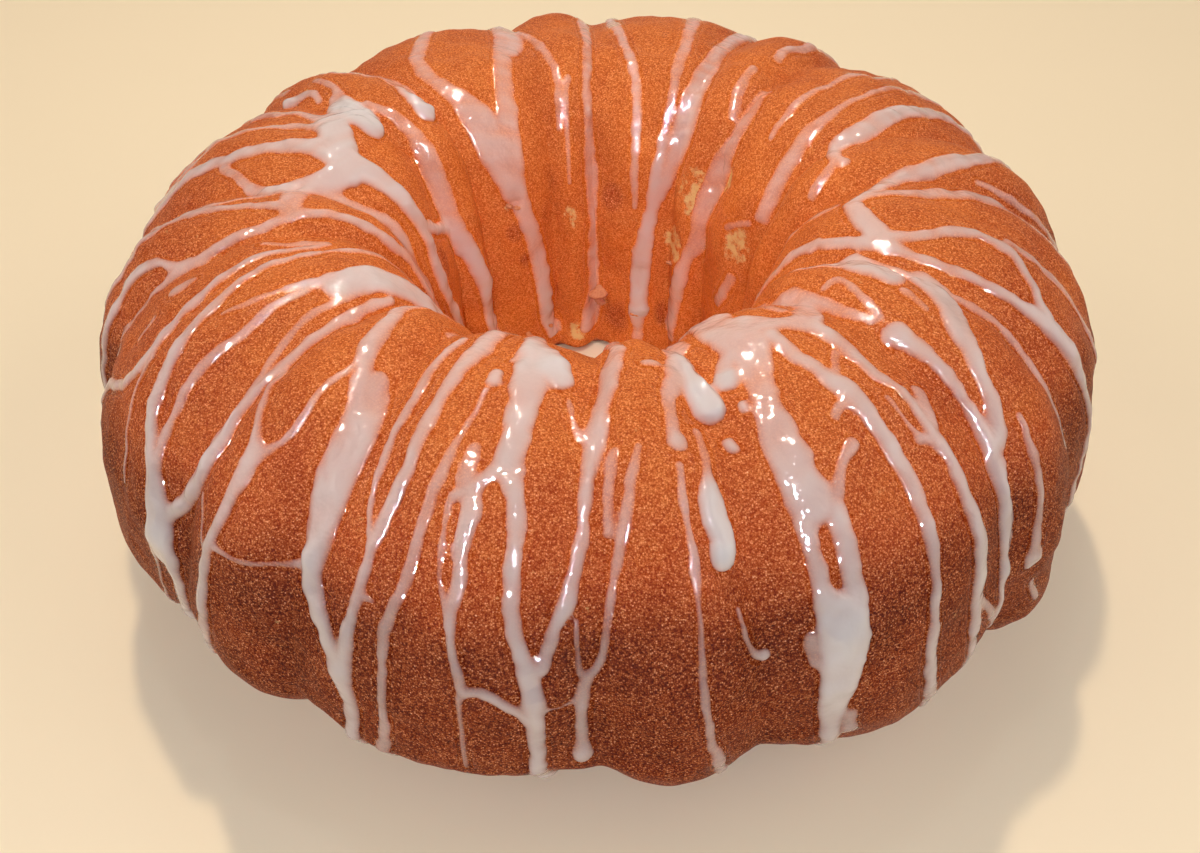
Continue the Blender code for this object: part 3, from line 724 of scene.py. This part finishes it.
GLAZE_TURN_STEP = 0.3       # degrees
GLAZE_DOWN_STEP = 0.7       # mm
GLAZE_LOW_S = 119.0
GLAZE_DEEP_S = -102.0
FILLET = 0.45               # mm, how softly joining streaks run together
DEPTH_BLEND = 1.3           # mm, how softly their depths do
EDGE_ROLL = 2.4             # mm, how far in from its edge a pool reaches its depth
GROOVE_SPAN = 1.8           # degrees, how far to each side the glaze levels out a groove
WIDE_SPAN = 3.6             # and where it is thick
EDGE_POWER = 0.6            # how steeply a streak's edge rises, where 0.5 is a quarter ellipse
SPREAD = 1.12               # how much wider a streak set than it ran
SUNK = 0.22                 # mm, how far its underside lies in the crust's grain
STREAK_DEPTH = 0.52         # mm, how thick a full streak stands at a half width of 1 mm
DEPTH_POWER = 0.6           # and how that grows with the half width
BEAD_LENGTH = 3.6           # mm, over which a streak swells into its bead
BEAD_SWELL = 0.3            # how much wider
BEAD_RISE = 0.45            # and how much thicker it is there
CARRY_STEP = 7              # mm between the swings of a streak that carries on
BEAD_CHANCE = 0.6
FORK_CHANCE = 0.4
FORK_START = 5              # mm, from a fork to the first point of its branch
BRANCH_WIDTH = 0.6
BRANCH_FULLNESS = 0.8
GLAZE_SECTORS = (-180.0, -60.0, 0.0, 60.0, 180.0)


def smooth_path(points, spacing):
    """A Catmull-Rom spline through (phi, s, half width), read about every spacing in mm."""
    points = np.array(points, float)
    padded = np.vstack([2 * points[0] - points[1], points, 2 * points[-1] - points[-2]])
    rows = []
    for before, start, end, after in zip(padded, padded[1:], padded[2:], padded[3:]):
        radius = section_at((start[1] + end[1]) / 2)[0]
        length = math.hypot(math.radians(end[0] - start[0]) * radius, end[1] - start[1])
        t = np.linspace(0, 1, max(2, math.ceil(length / spacing) + 1))[:-1, None]
        rows.append(0.5 * (2 * start + (end - before) * t
                           + (2 * before - 5 * start + 4 * end - after) * t ** 2
                           + (3 * start - before - 3 * end + after) * t ** 3))
    rows.append(padded[-2][None])
    return np.vstack(rows)


def carry_on(start_phi, start_s, width, end_s, random):
    """A wandering streak from its start to end_s: at each step it swings a little, and it narrows."""
    count = max(3, round(abs(end_s - start_s) / CARRY_STEP) + 1)
    s = np.linspace(start_s, end_s, count)
    swing = np.cumsum(random.normal(0, 1.0, count) + 0.4 * np.sin(s / 9 + random.uniform(0, 6)))
    swing -= swing[0]
    radius = section_at(s)[0]
    phi = start_phi + np.degrees(swing / radius)
    half = width * (1 - 0.3 * np.linspace(0, 1, count)) * random.uniform(0.8, 1.2, count)
    half[0] = width
    return tuple(zip(phi, s, half))


def all_streaks():
    """Every streak: those placed one by one, and those that carry on, some with a fork."""
    random = np.random.default_rng(21)
    streaks = [(fullness, BEAD if ending else RUNS_OUT, path)
               for fullness, path, *ending in (*FRONT_STREAKS, *SIDE_STREAKS, *BACK_STREAKS)]
    for start_phi, start_s, width, end_s, fullness in (*CARRIED_ON, *CARRIED_IN):
        path = carry_on(start_phi, start_s, width, end_s, random)
        streaks.append((fullness, BEAD if random.random() < BEAD_CHANCE else RUNS_OUT, path))
        if random.random() < FORK_CHANCE and len(path) > 5:
            fork = path[len(path) // 2]
            side = random.choice((-1.0, 1.0)) * random.uniform(1.5, 3.0)
            reach = fork[1] + (end_s - fork[1]) * random.uniform(0.5, 0.9)
            branch_s = fork[1] + math.copysign(FORK_START, end_s - start_s)
            branch = carry_on(fork[0] + side, branch_s, width * BRANCH_WIDTH, reach, random)
            streaks.append((fullness * BRANCH_FULLNESS, BEAD, (fork, *branch)))
    return streaks


def streak_depth(half_width, fullness):
    """How thick the middle of a streak stands, in mm: it grows a little slower than the width."""
    return STREAK_DEPTH * half_width ** DEPTH_POWER * fullness


def glaze_field(phi, s):
    """On the grid: the distance in from the glaze's edge, the half width and the depth there, in mm.

    Within a streak, a point's distance in is the half width minus its distance from the middle line.
    Streaks are joined by a soft maximum, the logarithm of a sum of exponentials, which leaves
    fillets where they run together.
    """
    turns, downs = len(phi), len(s)
    total = np.zeros((turns, downs))
    blend = np.zeros((turns, downs))
    width_sum = np.zeros((turns, downs))
    depth_sum = np.zeros((turns, downs))
    radius = section_at(s)[0]
    for fullness, ending, points in all_streaks():
        path = smooth_path(points, 1.2)
        on_shoulder = smoothstep(4, 16, path[:, 1]) * smoothstep(60, 44, path[:, 1])
        path[:, 2] *= SPREAD * (1 + 0.1 * on_shoulder)
        length = np.concatenate([[0], np.cumsum(np.hypot(
            np.radians(np.diff(path[:, 0])) * section_at(path[1:, 1])[0], np.diff(path[:, 1])))])
        near_end = smoothstep(BEAD_LENGTH, 0.8, length[-1] - length) * ending
        path[:, 2] *= 1 + BEAD_SWELL * near_end
        depth = streak_depth(path[:, 2], fullness) * (1 + BEAD_RISE * near_end)

        reach = path[:, 2].max() + 5 * FILLET + 1.5
        rows = (s > path[:, 1].min() - reach) & (s < path[:, 1].max() + reach)
        swing = np.degrees(reach / radius[rows].min())
        middle = (path[:, 0].min() + path[:, 0].max()) / 2
        half_span = (path[:, 0].max() - path[:, 0].min()) / 2 + swing
        offset = np.mod(phi - middle + 180, 360) - 180
        columns = np.abs(offset) < half_span
        window = np.ix_(columns, rows)

        across = (offset[columns] + middle)[:, None]
        down = s[rows][None, :]
        mm_per_degree = np.radians(1.0) * radius[rows][None, :]
        best = np.full((columns.sum(), rows.sum()), -1e3)
        best_width = np.ones_like(best)
        best_depth = np.zeros_like(best)
        for start, end, d0, d1 in zip(path[:-1], path[1:], depth[:-1], depth[1:]):
            leg_x = (end[0] - start[0]) * mm_per_degree
            leg_y = end[1] - start[1]
            x = (across - start[0]) * mm_per_degree
            y = down - start[1]
            along = np.clip((x * leg_x + y * leg_y) / (leg_x ** 2 + leg_y ** 2 + 1e-9), 0, 1)
            half = start[2] + (end[2] - start[2]) * along
            inside = half - np.hypot(x - along * leg_x, y - along * leg_y)
            better = inside > best
            best = np.where(better, inside, best)
            best_width = np.where(better, half, best_width)
            best_depth = np.where(better, d0 + (d1 - d0) * along, best_depth)
        total[window] += np.exp(np.clip(best / FILLET, -30, 30))
        share = np.exp(np.clip(best / DEPTH_BLEND, -12, 12))
        blend[window] += share
        width_sum[window] += share * best_width
        depth_sum[window] += share * best_depth
    blend = np.maximum(blend, 1e-6)
    return FILLET * np.log(np.maximum(total, 1e-13)), width_sum / blend, depth_sum / blend


def fill_corners(kept):
    """Adds quads where kept ones would touch only by a corner, so that the rim stays one clean line."""
    for _ in range(4):
        right, up = np.roll(kept, -1, axis=0), np.roll(kept, -1, axis=1)
        across = np.roll(right, -1, axis=1)
        kept = kept.copy()
        falling = kept & across & ~right & ~up
        rising = right & up & ~kept & ~across
        kept |= np.roll(falling, 1, axis=0) | rising
    return kept


def glaze_heights(edge, width, depth, across, down):
    """Its height and its milkiness, both in mm: the depth times (1 - (1 - x) ** 2) ** power, where x
    rises from 0 at the edge to 1 over the roll. A power of a half is a quarter ellipse, as its
    surface pulls it. Where it is thin the milkiness takes a higher power, which leaves its edge clear.
    """
    flat = np.stack([across, down], axis=-1)
    lumpy = 1 + 0.12 * waves(flat, 7, 16, 20, 31) + 0.03 * waves(flat, 3, 5, 20, 32)
    inward = np.clip(edge / np.minimum(width, EDGE_ROLL), 0, 1)
    milky = 0.85 - 0.3 * smoothstep(0.9, 1.8, depth)
    round_edge = 1 - (1 - inward) ** 2
    on_crown = smoothstep(34, 6, np.abs(down)) * smoothstep(1.6, 1.0, depth)
    depth = depth * np.clip(lumpy, 0.5, 1.6) * (1 - 0.25 * on_crown)
    return depth * round_edge ** EDGE_POWER, depth * round_edge ** milky


GLAZE_WHITE = "#d9d4d0"
RIPPLE_SCALE = 620.0        # ripples of about 1.6 mm, as features per metre
RIPPLE_HEIGHT = 0.34        # mm
GLAZE_CLEAR_DEPTH = 0.72    # mm of glaze that hide two thirds of what is under them


def make_glaze_material():
    """Sugar glaze, poured and set: milky in depth, with a wet gloss that its fine ripples break into
    glints. They are liveliest where it is thin, and almost gone where it is thick."""
    material, tree, shader = new_material("poured_sugar_glaze")
    thickness = add_node(tree, "Attribute", {}, attribute_name="thickness").outputs["Fac"]
    optical = add_node(tree, "Math", {0: thickness, 1: -1 / GLAZE_CLEAR_DEPTH}, operation="MULTIPLY")
    see_through = add_node(tree, "Math", {0: optical.outputs[0]}, operation="EXPONENT").outputs[0]
    thin = add_node(tree, "Math", {0: see_through, 1: 2.0}, operation="POWER").outputs[0]
    contrast = add_node(tree, "Math", {0: thin, 1: 3.0}, operation="MULTIPLY").outputs[0]
    skin, _ = crust_pattern(tree, contrast)
    body = add_node(tree, "Mix", {"Factor": see_through, "A": colour(GLAZE_WHITE), "B": skin},
                    data_type="RGBA")
    place = add_node(tree, "TexCoord", {}).outputs["Object"]
    ripple = add_node(tree, "TexNoise", {"Vector": place, "Scale": RIPPLE_SCALE, "Detail": 1.0})
    lively = add_node(tree, "MapRange", {"Value": see_through, "From Max": 0.7, "To Min": 0.12,
                                         "To Max": 1.0})
    rise = add_node(tree, "Math", {0: ripple.outputs["Fac"], 1: lively.outputs["Result"]},
                    operation="MULTIPLY")
    bump = add_node(tree, "Bump", {"Height": rise.outputs[0], "Strength": 1.0,
                                   "Distance": RIPPLE_HEIGHT * MM})
    tree.links.new(body.outputs["Result"], shader.inputs["Base Color"])
    tree.links.new(bump.outputs["Normal"], shader.inputs["Normal"])
    shader.inputs["Roughness"].default_value = 0.04
    shader.inputs["IOR"].default_value = 1.45
    shader.inputs["Specular IOR Level"].default_value = 0.8
    return material


def glaze_shell(chosen, outline, arrays):
    """A closed shell over the chosen quads: the glaze's top, its underside and the rim between."""
    index, next_turn, next_down, corner = outline
    top, under, thickness, brown_and_shade = arrays
    quads = np.stack([index[chosen], next_down[chosen], corner[chosen], next_turn[chosen]], axis=-1)
    used, quads = np.unique(quads, return_inverse=True)
    quads = quads.reshape(-1, 4)
    count = len(used)
    edges = np.stack([quads, np.roll(quads, -1, axis=1)], axis=-1).reshape(-1, 2)
    key = edges[:, 0] * count + edges[:, 1]
    back = edges[:, 1] * count + edges[:, 0]
    rim = edges[~np.isin(key, back)]
    skirt = np.stack([rim[:, 1], rim[:, 0], rim[:, 0] + count, rim[:, 1] + count], axis=-1)
    faces = np.vstack([quads, quads[:, ::-1] + count, skirt])
    points = np.vstack([top[used], under[used]])
    return points, faces, np.tile(thickness[used], 2), np.tile(brown_and_shade[used], 2)


def level_over(phi, s, smooth, span):
    """Normals that pass smoothly over the grooves, and how far each point lies below the middle of
    the two points a span away on each side, along that normal and in mm."""
    level = skin_normal(phi, s, span)
    banks = (skin_point(phi + span, s) + skin_point(phi - span, s)) / 2
    return level, np.clip(((banks - smooth) * level).sum(axis=-1), 0, None)


def make_glaze():
    """The glaze on its (phi, s) grid, split at sectors into shells that each stay light enough."""
    turns = round(360 / GLAZE_TURN_STEP)
    phi = -180 + np.arange(turns) * GLAZE_TURN_STEP
    s = np.arange(GLAZE_DEEP_S, GLAZE_LOW_S, GLAZE_DOWN_STEP)
    edge, width, depth = glaze_field(phi, s)

    radius = section_at(s)[0]
    across = np.radians(phi)[:, None] * radius[None, :]
    down = np.broadcast_to(s[None, :], across.shape)
    smooth = skin_point(phi[:, None], s[None, :])
    wobble = 0.13 * waves(smooth, 3.5, 7, 28, 33) + 0.06 * waves(smooth, 1.8, 2.8, 28, 34)
    edge = edge + wobble * np.clip(width / 1.4, 0.35, 1)

    # Quads with any corner inside are kept, and their outside corners step on to the edge line
    inside = edge > 0
    kept = inside | np.roll(inside, -1, axis=0)
    kept = kept | np.roll(kept, -1, axis=1)
    kept[:, -1] = False
    kept = fill_corners(kept)
    kept[:, -1] = False
    mm_per_degree = np.radians(1.0) * radius[None, :]
    turned = np.roll(edge, -1, axis=0) - np.roll(edge, 1, axis=0)
    slope_x = turned / (2 * GLAZE_TURN_STEP * mm_per_degree)
    slope_y = np.gradient(edge, GLAZE_DOWN_STEP, axis=1)
    steep = np.maximum(slope_x ** 2 + slope_y ** 2, 0.15)
    step = np.where(inside, 0, np.clip(-edge, 0, 1.2)) / steep
    grid_phi = phi[:, None] + np.clip(step * slope_x / mm_per_degree, -GLAZE_TURN_STEP, GLAZE_TURN_STEP)
    grid_s = s[None, :] + np.clip(step * slope_y, -GLAZE_DOWN_STEP, GLAZE_DOWN_STEP)

    height, thickness = glaze_heights(edge, width, depth, across, down)
    skin, normal, smooth = real_skin(grid_phi, grid_s)
    level, fill = level_over(grid_phi, grid_s, smooth, GROOVE_SPAN)
    wide_level, wide_fill = level_over(grid_phi, grid_s, smooth, WIDE_SPAN)
    thick = smoothstep(0.5, 1.3, thickness)[..., None]
    level = level * (1 - thick) + wide_level * thick
    fill = 0.6 * (fill * (1 - thick[..., 0]) + wide_fill * thick[..., 0])
    lift = height + fill * smoothstep(0.15, 0.9, thickness)
    top = skin + level * lift[..., None]
    under = skin - normal * SUNK
    brown_and_shade = browning_and_shade(grid_phi, grid_s, smooth)

    index = np.arange(edge.size).reshape(edge.shape)
    next_turn = np.roll(index, -1, axis=0)
    outline = (index, next_turn, np.roll(index, -1, axis=1), np.roll(next_turn, -1, axis=1))
    arrays = (top.reshape(-1, 3), under.reshape(-1, 3), thickness.ravel(), brown_and_shade.ravel())
    material = make_glaze_material()
    shells = []
    for number, (low, high) in enumerate(zip(GLAZE_SECTORS, GLAZE_SECTORS[1:]), start=1):
        sector = (phi >= low) & (phi < high)
        chosen = kept & sector[:, None]
        points, faces, thick, dark = glaze_shell(chosen, outline, arrays)
        shell = mesh_piece(f"glaze_{number}", points, faces, material)
        add_attribute(shell, "thickness", thick)
        add_attribute(shell, "browning_and_shade", dark)
        shell.data.set_sharp_from_angle(angle=math.radians(55.0))
        shells.append(shell)
    return shells


def wet_crust():
    """How wet the glaze left the crust: 1 under it, falling to 0 about 2 mm outside its edge."""
    phi, s = crust_grid()
    phi = np.mod(phi[:, 0] + 180, 360) - 180
    edge, _, _ = glaze_field(phi, s[0])
    wet = smoothstep(-2.0, -0.1, edge)
    wet = np.concatenate([wet, np.zeros((len(phi), 1))], axis=1)
    add_attribute(cake_crust, "wet", wet)


wet_crust()
for glaze in make_glaze():
    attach(glaze, "root")

# --- Crumbs ---------------------------------------------------------------------------------------
# Bits of pale crumb that broke off where the crust tore. Most lie loose on the table inside the hole,
# and a few still cling to its wall: dry, rough and as irregular as they broke.

# A darker colour, which is painted shade in the pores, and the crumb's own pale colour
CRUMB_TONE_AND_PORE_SHADE = ("#a8682c", "#e8b973")
CRUMB_CRUST = "#d9743c"
CRUMB_SCALE = 1500.0        # pores of about 0.7 mm, as features per metre
PORE_DEPTH = 0.4            # mm
CRUMB_STRETCH = (1.0, 0.75, 0.6)
LOOSE_BAKED = 0.1           # how much of its crust a crumb still has
CLINGING_BAKED = 0.7
CLINGING_LIFT = 0.35        # how far a clinging crumb's middle stands off, as a share of its half length
# Loose crumbs: phi, distance from the middle in mm, and half length in mm
LOOSE_CRUMBS = ((-171.0, 37.0, 1.6), (-174.5, 34.5, 1.1), (-167.0, 35.5, 0.9), (-178.0, 38.0, 0.8),
                (-163.0, 38.5, 1.2), (170.0, 37.5, 0.7), (150.0, 33.0, 0.8), (-140.0, 30.0, 0.9),
                (-95.0, 36.5, 1.0), (62.0, 35.0, 0.8), (14.0, 36.5, 1.1), (-30.0, 34.0, 0.7))
# Clinging crumbs: phi, s and half length in mm
CLINGING_CRUMBS = ((177.5, -84, 2.8), (178.5, -89, 1.9), (-146.0, -48, 1.2), (-149.0, -49, 1.0),
                   (162.5, -90, 1.3), (-160.5, -96, 1.0), (-150.0, -95, 1.1), (147.0, -68, 0.9))
CRUMB_TURNS = 20
CRUMB_RINGS = 11


def crumb_shape(half, random):
    """One crumb about the origin: a sphere's rings, stretched, with waves pushed in and out."""
    turn = np.arange(CRUMB_TURNS) * 2 * math.pi / CRUMB_TURNS
    rise = (np.arange(1, CRUMB_RINGS) / CRUMB_RINGS * math.pi)[:, None]
    rings = np.stack([np.sin(rise) * np.cos(turn), np.sin(rise) * np.sin(turn),
                      np.cos(rise) + 0 * turn], axis=-1).reshape(-1, 3)
    points = np.vstack([(0, 0, 1), rings, (0, 0, -1)])
    seed = int(random.integers(1 << 30))
    bumps = 1 + 0.22 * waves(points, 1.2, 2.4, 16, seed) + 0.08 * waves(points, 0.5, 0.9, 24, seed + 1)
    points = points * np.clip(bumps, 0.5, 1.5)[:, None] * half * np.array(CRUMB_STRETCH)
    tilt, spin = random.uniform(-0.5, 0.5), random.uniform(0, 2 * math.pi)
    around = np.array([[math.cos(spin), -math.sin(spin), 0],
                       [math.sin(spin), math.cos(spin), 0],
                       [0, 0, 1]])
    over = np.array([[1, 0, 0],
                     [0, math.cos(tilt), -math.sin(tilt)],
                     [0, math.sin(tilt), math.cos(tilt)]])
    return points @ (around @ over).T


def crumb_faces():
    """Triangles of one crumb: a fan at each pole, and two for each quad between its rings."""
    ring = 1 + np.arange((CRUMB_RINGS - 1) * CRUMB_TURNS).reshape(CRUMB_RINGS - 1, CRUMB_TURNS)
    ahead = np.roll(ring, -1, axis=1)
    last = (CRUMB_RINGS - 1) * CRUMB_TURNS + 1
    top = np.stack([np.zeros(CRUMB_TURNS, int), ring[0], ahead[0]], axis=-1)
    foot = np.stack([np.full(CRUMB_TURNS, last), ahead[-1], ring[-1]], axis=-1)
    first = np.stack([ring[:-1], ring[1:], ahead[1:]], axis=-1).reshape(-1, 3)
    second = np.stack([ring[:-1], ahead[1:], ahead[:-1]], axis=-1).reshape(-1, 3)
    return np.vstack([top, first, second, foot])


def make_crumb_material():
    """Open crumb, torn: matt, with an uneven tone whose darker places are painted shade in its pores."""
    material, tree, shader = new_material("torn_crumb")
    place = add_node(tree, "TexCoord", {}).outputs["Object"]
    pores = add_node(tree, "TexNoise", {"Vector": place, "Scale": CRUMB_SCALE, "Detail": 3.0})
    ramp = add_node(tree, "ValToRGB", {"Fac": pores.outputs["Fac"]})
    stops = ramp.color_ramp.elements
    stops[0].position, stops[1].position = 0.3, 0.65
    stops[0].color, stops[1].color = (colour(value) for value in CRUMB_TONE_AND_PORE_SHADE)
    bump = add_node(tree, "Bump", {"Height": pores.outputs["Fac"], "Strength": 0.8,
                                   "Distance": PORE_DEPTH * MM})
    baked = add_node(tree, "Attribute", {}, attribute_name="baked").outputs["Fac"]
    skin = add_node(tree, "Mix", {"Factor": baked, "A": ramp.outputs["Color"], "B": colour(CRUMB_CRUST)},
                    data_type="RGBA")
    tree.links.new(skin.outputs["Result"], shader.inputs["Base Color"])
    tree.links.new(bump.outputs["Normal"], shader.inputs["Normal"])
    shader.inputs["Roughness"].default_value = 0.85
    return material


def make_crumbs():
    """All the crumbs as one piece: loose ones resting on the table, and ones stuck to the wall."""
    random = np.random.default_rng(51)
    shapes = []
    for phi, reach, half in LOOSE_CRUMBS:
        shape = crumb_shape(half, random)
        turn = math.radians(phi)
        lowest = shape[:, 2].min()
        shapes.append(shape + np.array([reach * math.sin(turn), -reach * math.cos(turn), -lowest]))
    for phi, s, half in CLINGING_CRUMBS:
        point, normal, _ = real_skin(np.array([phi]), np.array([float(s)]))
        shapes.append(crumb_shape(half, random) + point[0] + normal[0] * CLINGING_LIFT * half)
    count = len(shapes[0])
    faces = np.vstack([crumb_faces() + number * count for number in range(len(shapes))])
    piece = mesh_piece("crumbs", np.vstack(shapes), faces, make_crumb_material())
    baked = np.repeat([LOOSE_BAKED] * len(LOOSE_CRUMBS) + [CLINGING_BAKED] * len(CLINGING_CRUMBS), count)
    add_attribute(piece, "baked", baked)
    return piece


crumbs = make_crumbs()
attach(crumbs, "root")

# --- Floor, light and camera ----------------------------------------------------------------------
# A plain pale table in a studio. A small warm lamp high behind the cake gives the soft shadow, large
# lamps light the sides and back, and bare bulbs put glints on the glaze. The camera stands close in
# front, halfway between level and straight down.

FLOOR_COLOUR = "#ffedc8"
FLOOR_HALF = 2.9


def make_floor():
    """A flat square of pale card under the cake."""
    corners = FLOOR_HALF / MM * np.array([(-1, -1, 0), (1, -1, 0), (1, 1, 0), (-1, 1, 0)], float)
    material, _, shader = new_material("pale_card")
    shader.inputs["Base Color"].default_value = colour(FLOOR_COLOUR)
    shader.inputs["Roughness"].default_value = 0.7
    return mesh_piece("floor", corners, np.array([[0, 1, 2, 3]]), material)


make_floor()


def add_lamp(name, place, size, power, tint):
    """A square area lamp that points at the cake's middle."""
    lamp = bpy.data.lights.new(name, "AREA")
    lamp.size = size
    lamp.energy = power
    lamp.color = colour(tint)[:3]
    holder = bpy.data.objects.new(name, lamp)
    holder.location = place
    holder.rotation_euler = (Vector((0, 0, 0.05)) - Vector(place)).to_track_quat("-Z", "Y").to_euler()
    bpy.context.scene.collection.objects.link(holder)
    return holder


# Lamps: name, place and size in metres, power in watts, and colour. The first isn't reflected.
CEILING_LAMP = ("ceiling_lamp", (-0.08, 0.40, 1.05), 0.06, 4.1, "#ffebd0")
LAMPS = (
    ("soft_lamp", (0.0, -0.05, 1.2), 1.0, 0.75, "#ffebd2"),
    ("high_front_lamp", (-0.10, -0.50, 1.05), 0.8, 0.4, "#fff4ea"),
    ("camera_lamp", (-0.02, -0.60, 0.58), 0.03, 2.3, "#e6eeff"),
    ("left_lamp", (-2.4, 0.0, 1.2), 2.6, 22.5, "#fff4ea"),
    ("right_lamp", (2.4, 0.0, 1.2), 2.6, 24.5, "#fff4ea"),
    ("back_lamp", (0.0, 2.3, 1.25), 2.5, 12.0, "#fff8f4"),
)
# Bare bulbs, which only show as glints in the gloss
BULBS = (
    ("high_bulb", (-0.06, 0.12, 1.05), 0.03, 8.0, "#fff4e6"),
    ("far_bulb", (0.02, 0.44, 0.98), 0.03, 3.0, "#fff4e6"),
    ("near_bulb", (-0.04, -0.45, 0.75), 0.03, 4.0, "#eef2ff"),
    ("low_bulb", (0.03, -0.68, 0.52), 0.03, 12.0, "#e6eeff"),
)

add_lamp(*CEILING_LAMP).visible_glossy = False
for lamp in LAMPS:
    add_lamp(*lamp)
for bulb in BULBS:
    add_lamp(*bulb).visible_diffuse = False

HOLE_LAMP_POWER = 17.0      # watts
HOLE_LAMP_SPREAD = math.radians(8.0)
HOLE_LAMP_PLACE = Vector((0.0, -0.45, 1.05))
HOLE_LAMP_TARGET = Vector((0.0, 0.012, 0.07))


def add_hole_lamp():
    """A narrow spot from high in front, which reaches the far side of the hole."""
    lamp = bpy.data.lights.new("hole_lamp", "SPOT")
    lamp.energy = HOLE_LAMP_POWER
    lamp.spot_size = HOLE_LAMP_SPREAD
    lamp.spot_blend = 1.0
    lamp.shadow_soft_size = 0.05
    holder = bpy.data.objects.new("hole_lamp", lamp)
    holder.location = HOLE_LAMP_PLACE
    aim = HOLE_LAMP_TARGET - HOLE_LAMP_PLACE
    holder.rotation_euler = aim.to_track_quat("-Z", "Y").to_euler()
    bpy.context.scene.collection.objects.link(holder)


add_hole_lamp()

world = bpy.data.worlds.new("soft_room")
bpy.context.scene.world = world
world.use_nodes = True
background = world.node_tree.nodes["Background"]
background.inputs["Color"].default_value = colour("#f2f2ff")
background.inputs["Strength"].default_value = 0.10
bpy.context.scene.view_settings.view_transform = "Standard"

CAMERA_TARGET = Vector((0.00085, 0.00384, 0.00403))
CAMERA_DISTANCE = 0.3348
CAMERA_ELEVATION = math.radians(44.26)
CAMERA_ROLL = math.radians(-0.908)
CAMERA_LENS = 34.34         # mm
CAMERA_SENSOR = 36.0        # mm wide


def make_camera():
    """The camera, in front of the cake and looking down at its target, with a slight roll."""
    back = Vector((0, -math.cos(CAMERA_ELEVATION), math.sin(CAMERA_ELEVATION)))
    right = Vector((1, 0, 0))
    up = right.cross(-back)
    rolled_right = right * math.cos(CAMERA_ROLL) + up * math.sin(CAMERA_ROLL)
    rolled_up = up * math.cos(CAMERA_ROLL) - right * math.sin(CAMERA_ROLL)
    camera = bpy.data.objects.new("camera", bpy.data.cameras.new("camera"))
    camera.data.lens = CAMERA_LENS
    camera.data.sensor_width = CAMERA_SENSOR
    camera.data.clip_start = 0.01
    turn = Matrix((rolled_right, rolled_up, back)).transposed()
    camera.matrix_world = Matrix.Translation(CAMERA_TARGET + back * CAMERA_DISTANCE) @ turn.to_4x4()
    bpy.context.scene.collection.objects.link(camera)
    bpy.context.scene.camera = camera


make_camera()
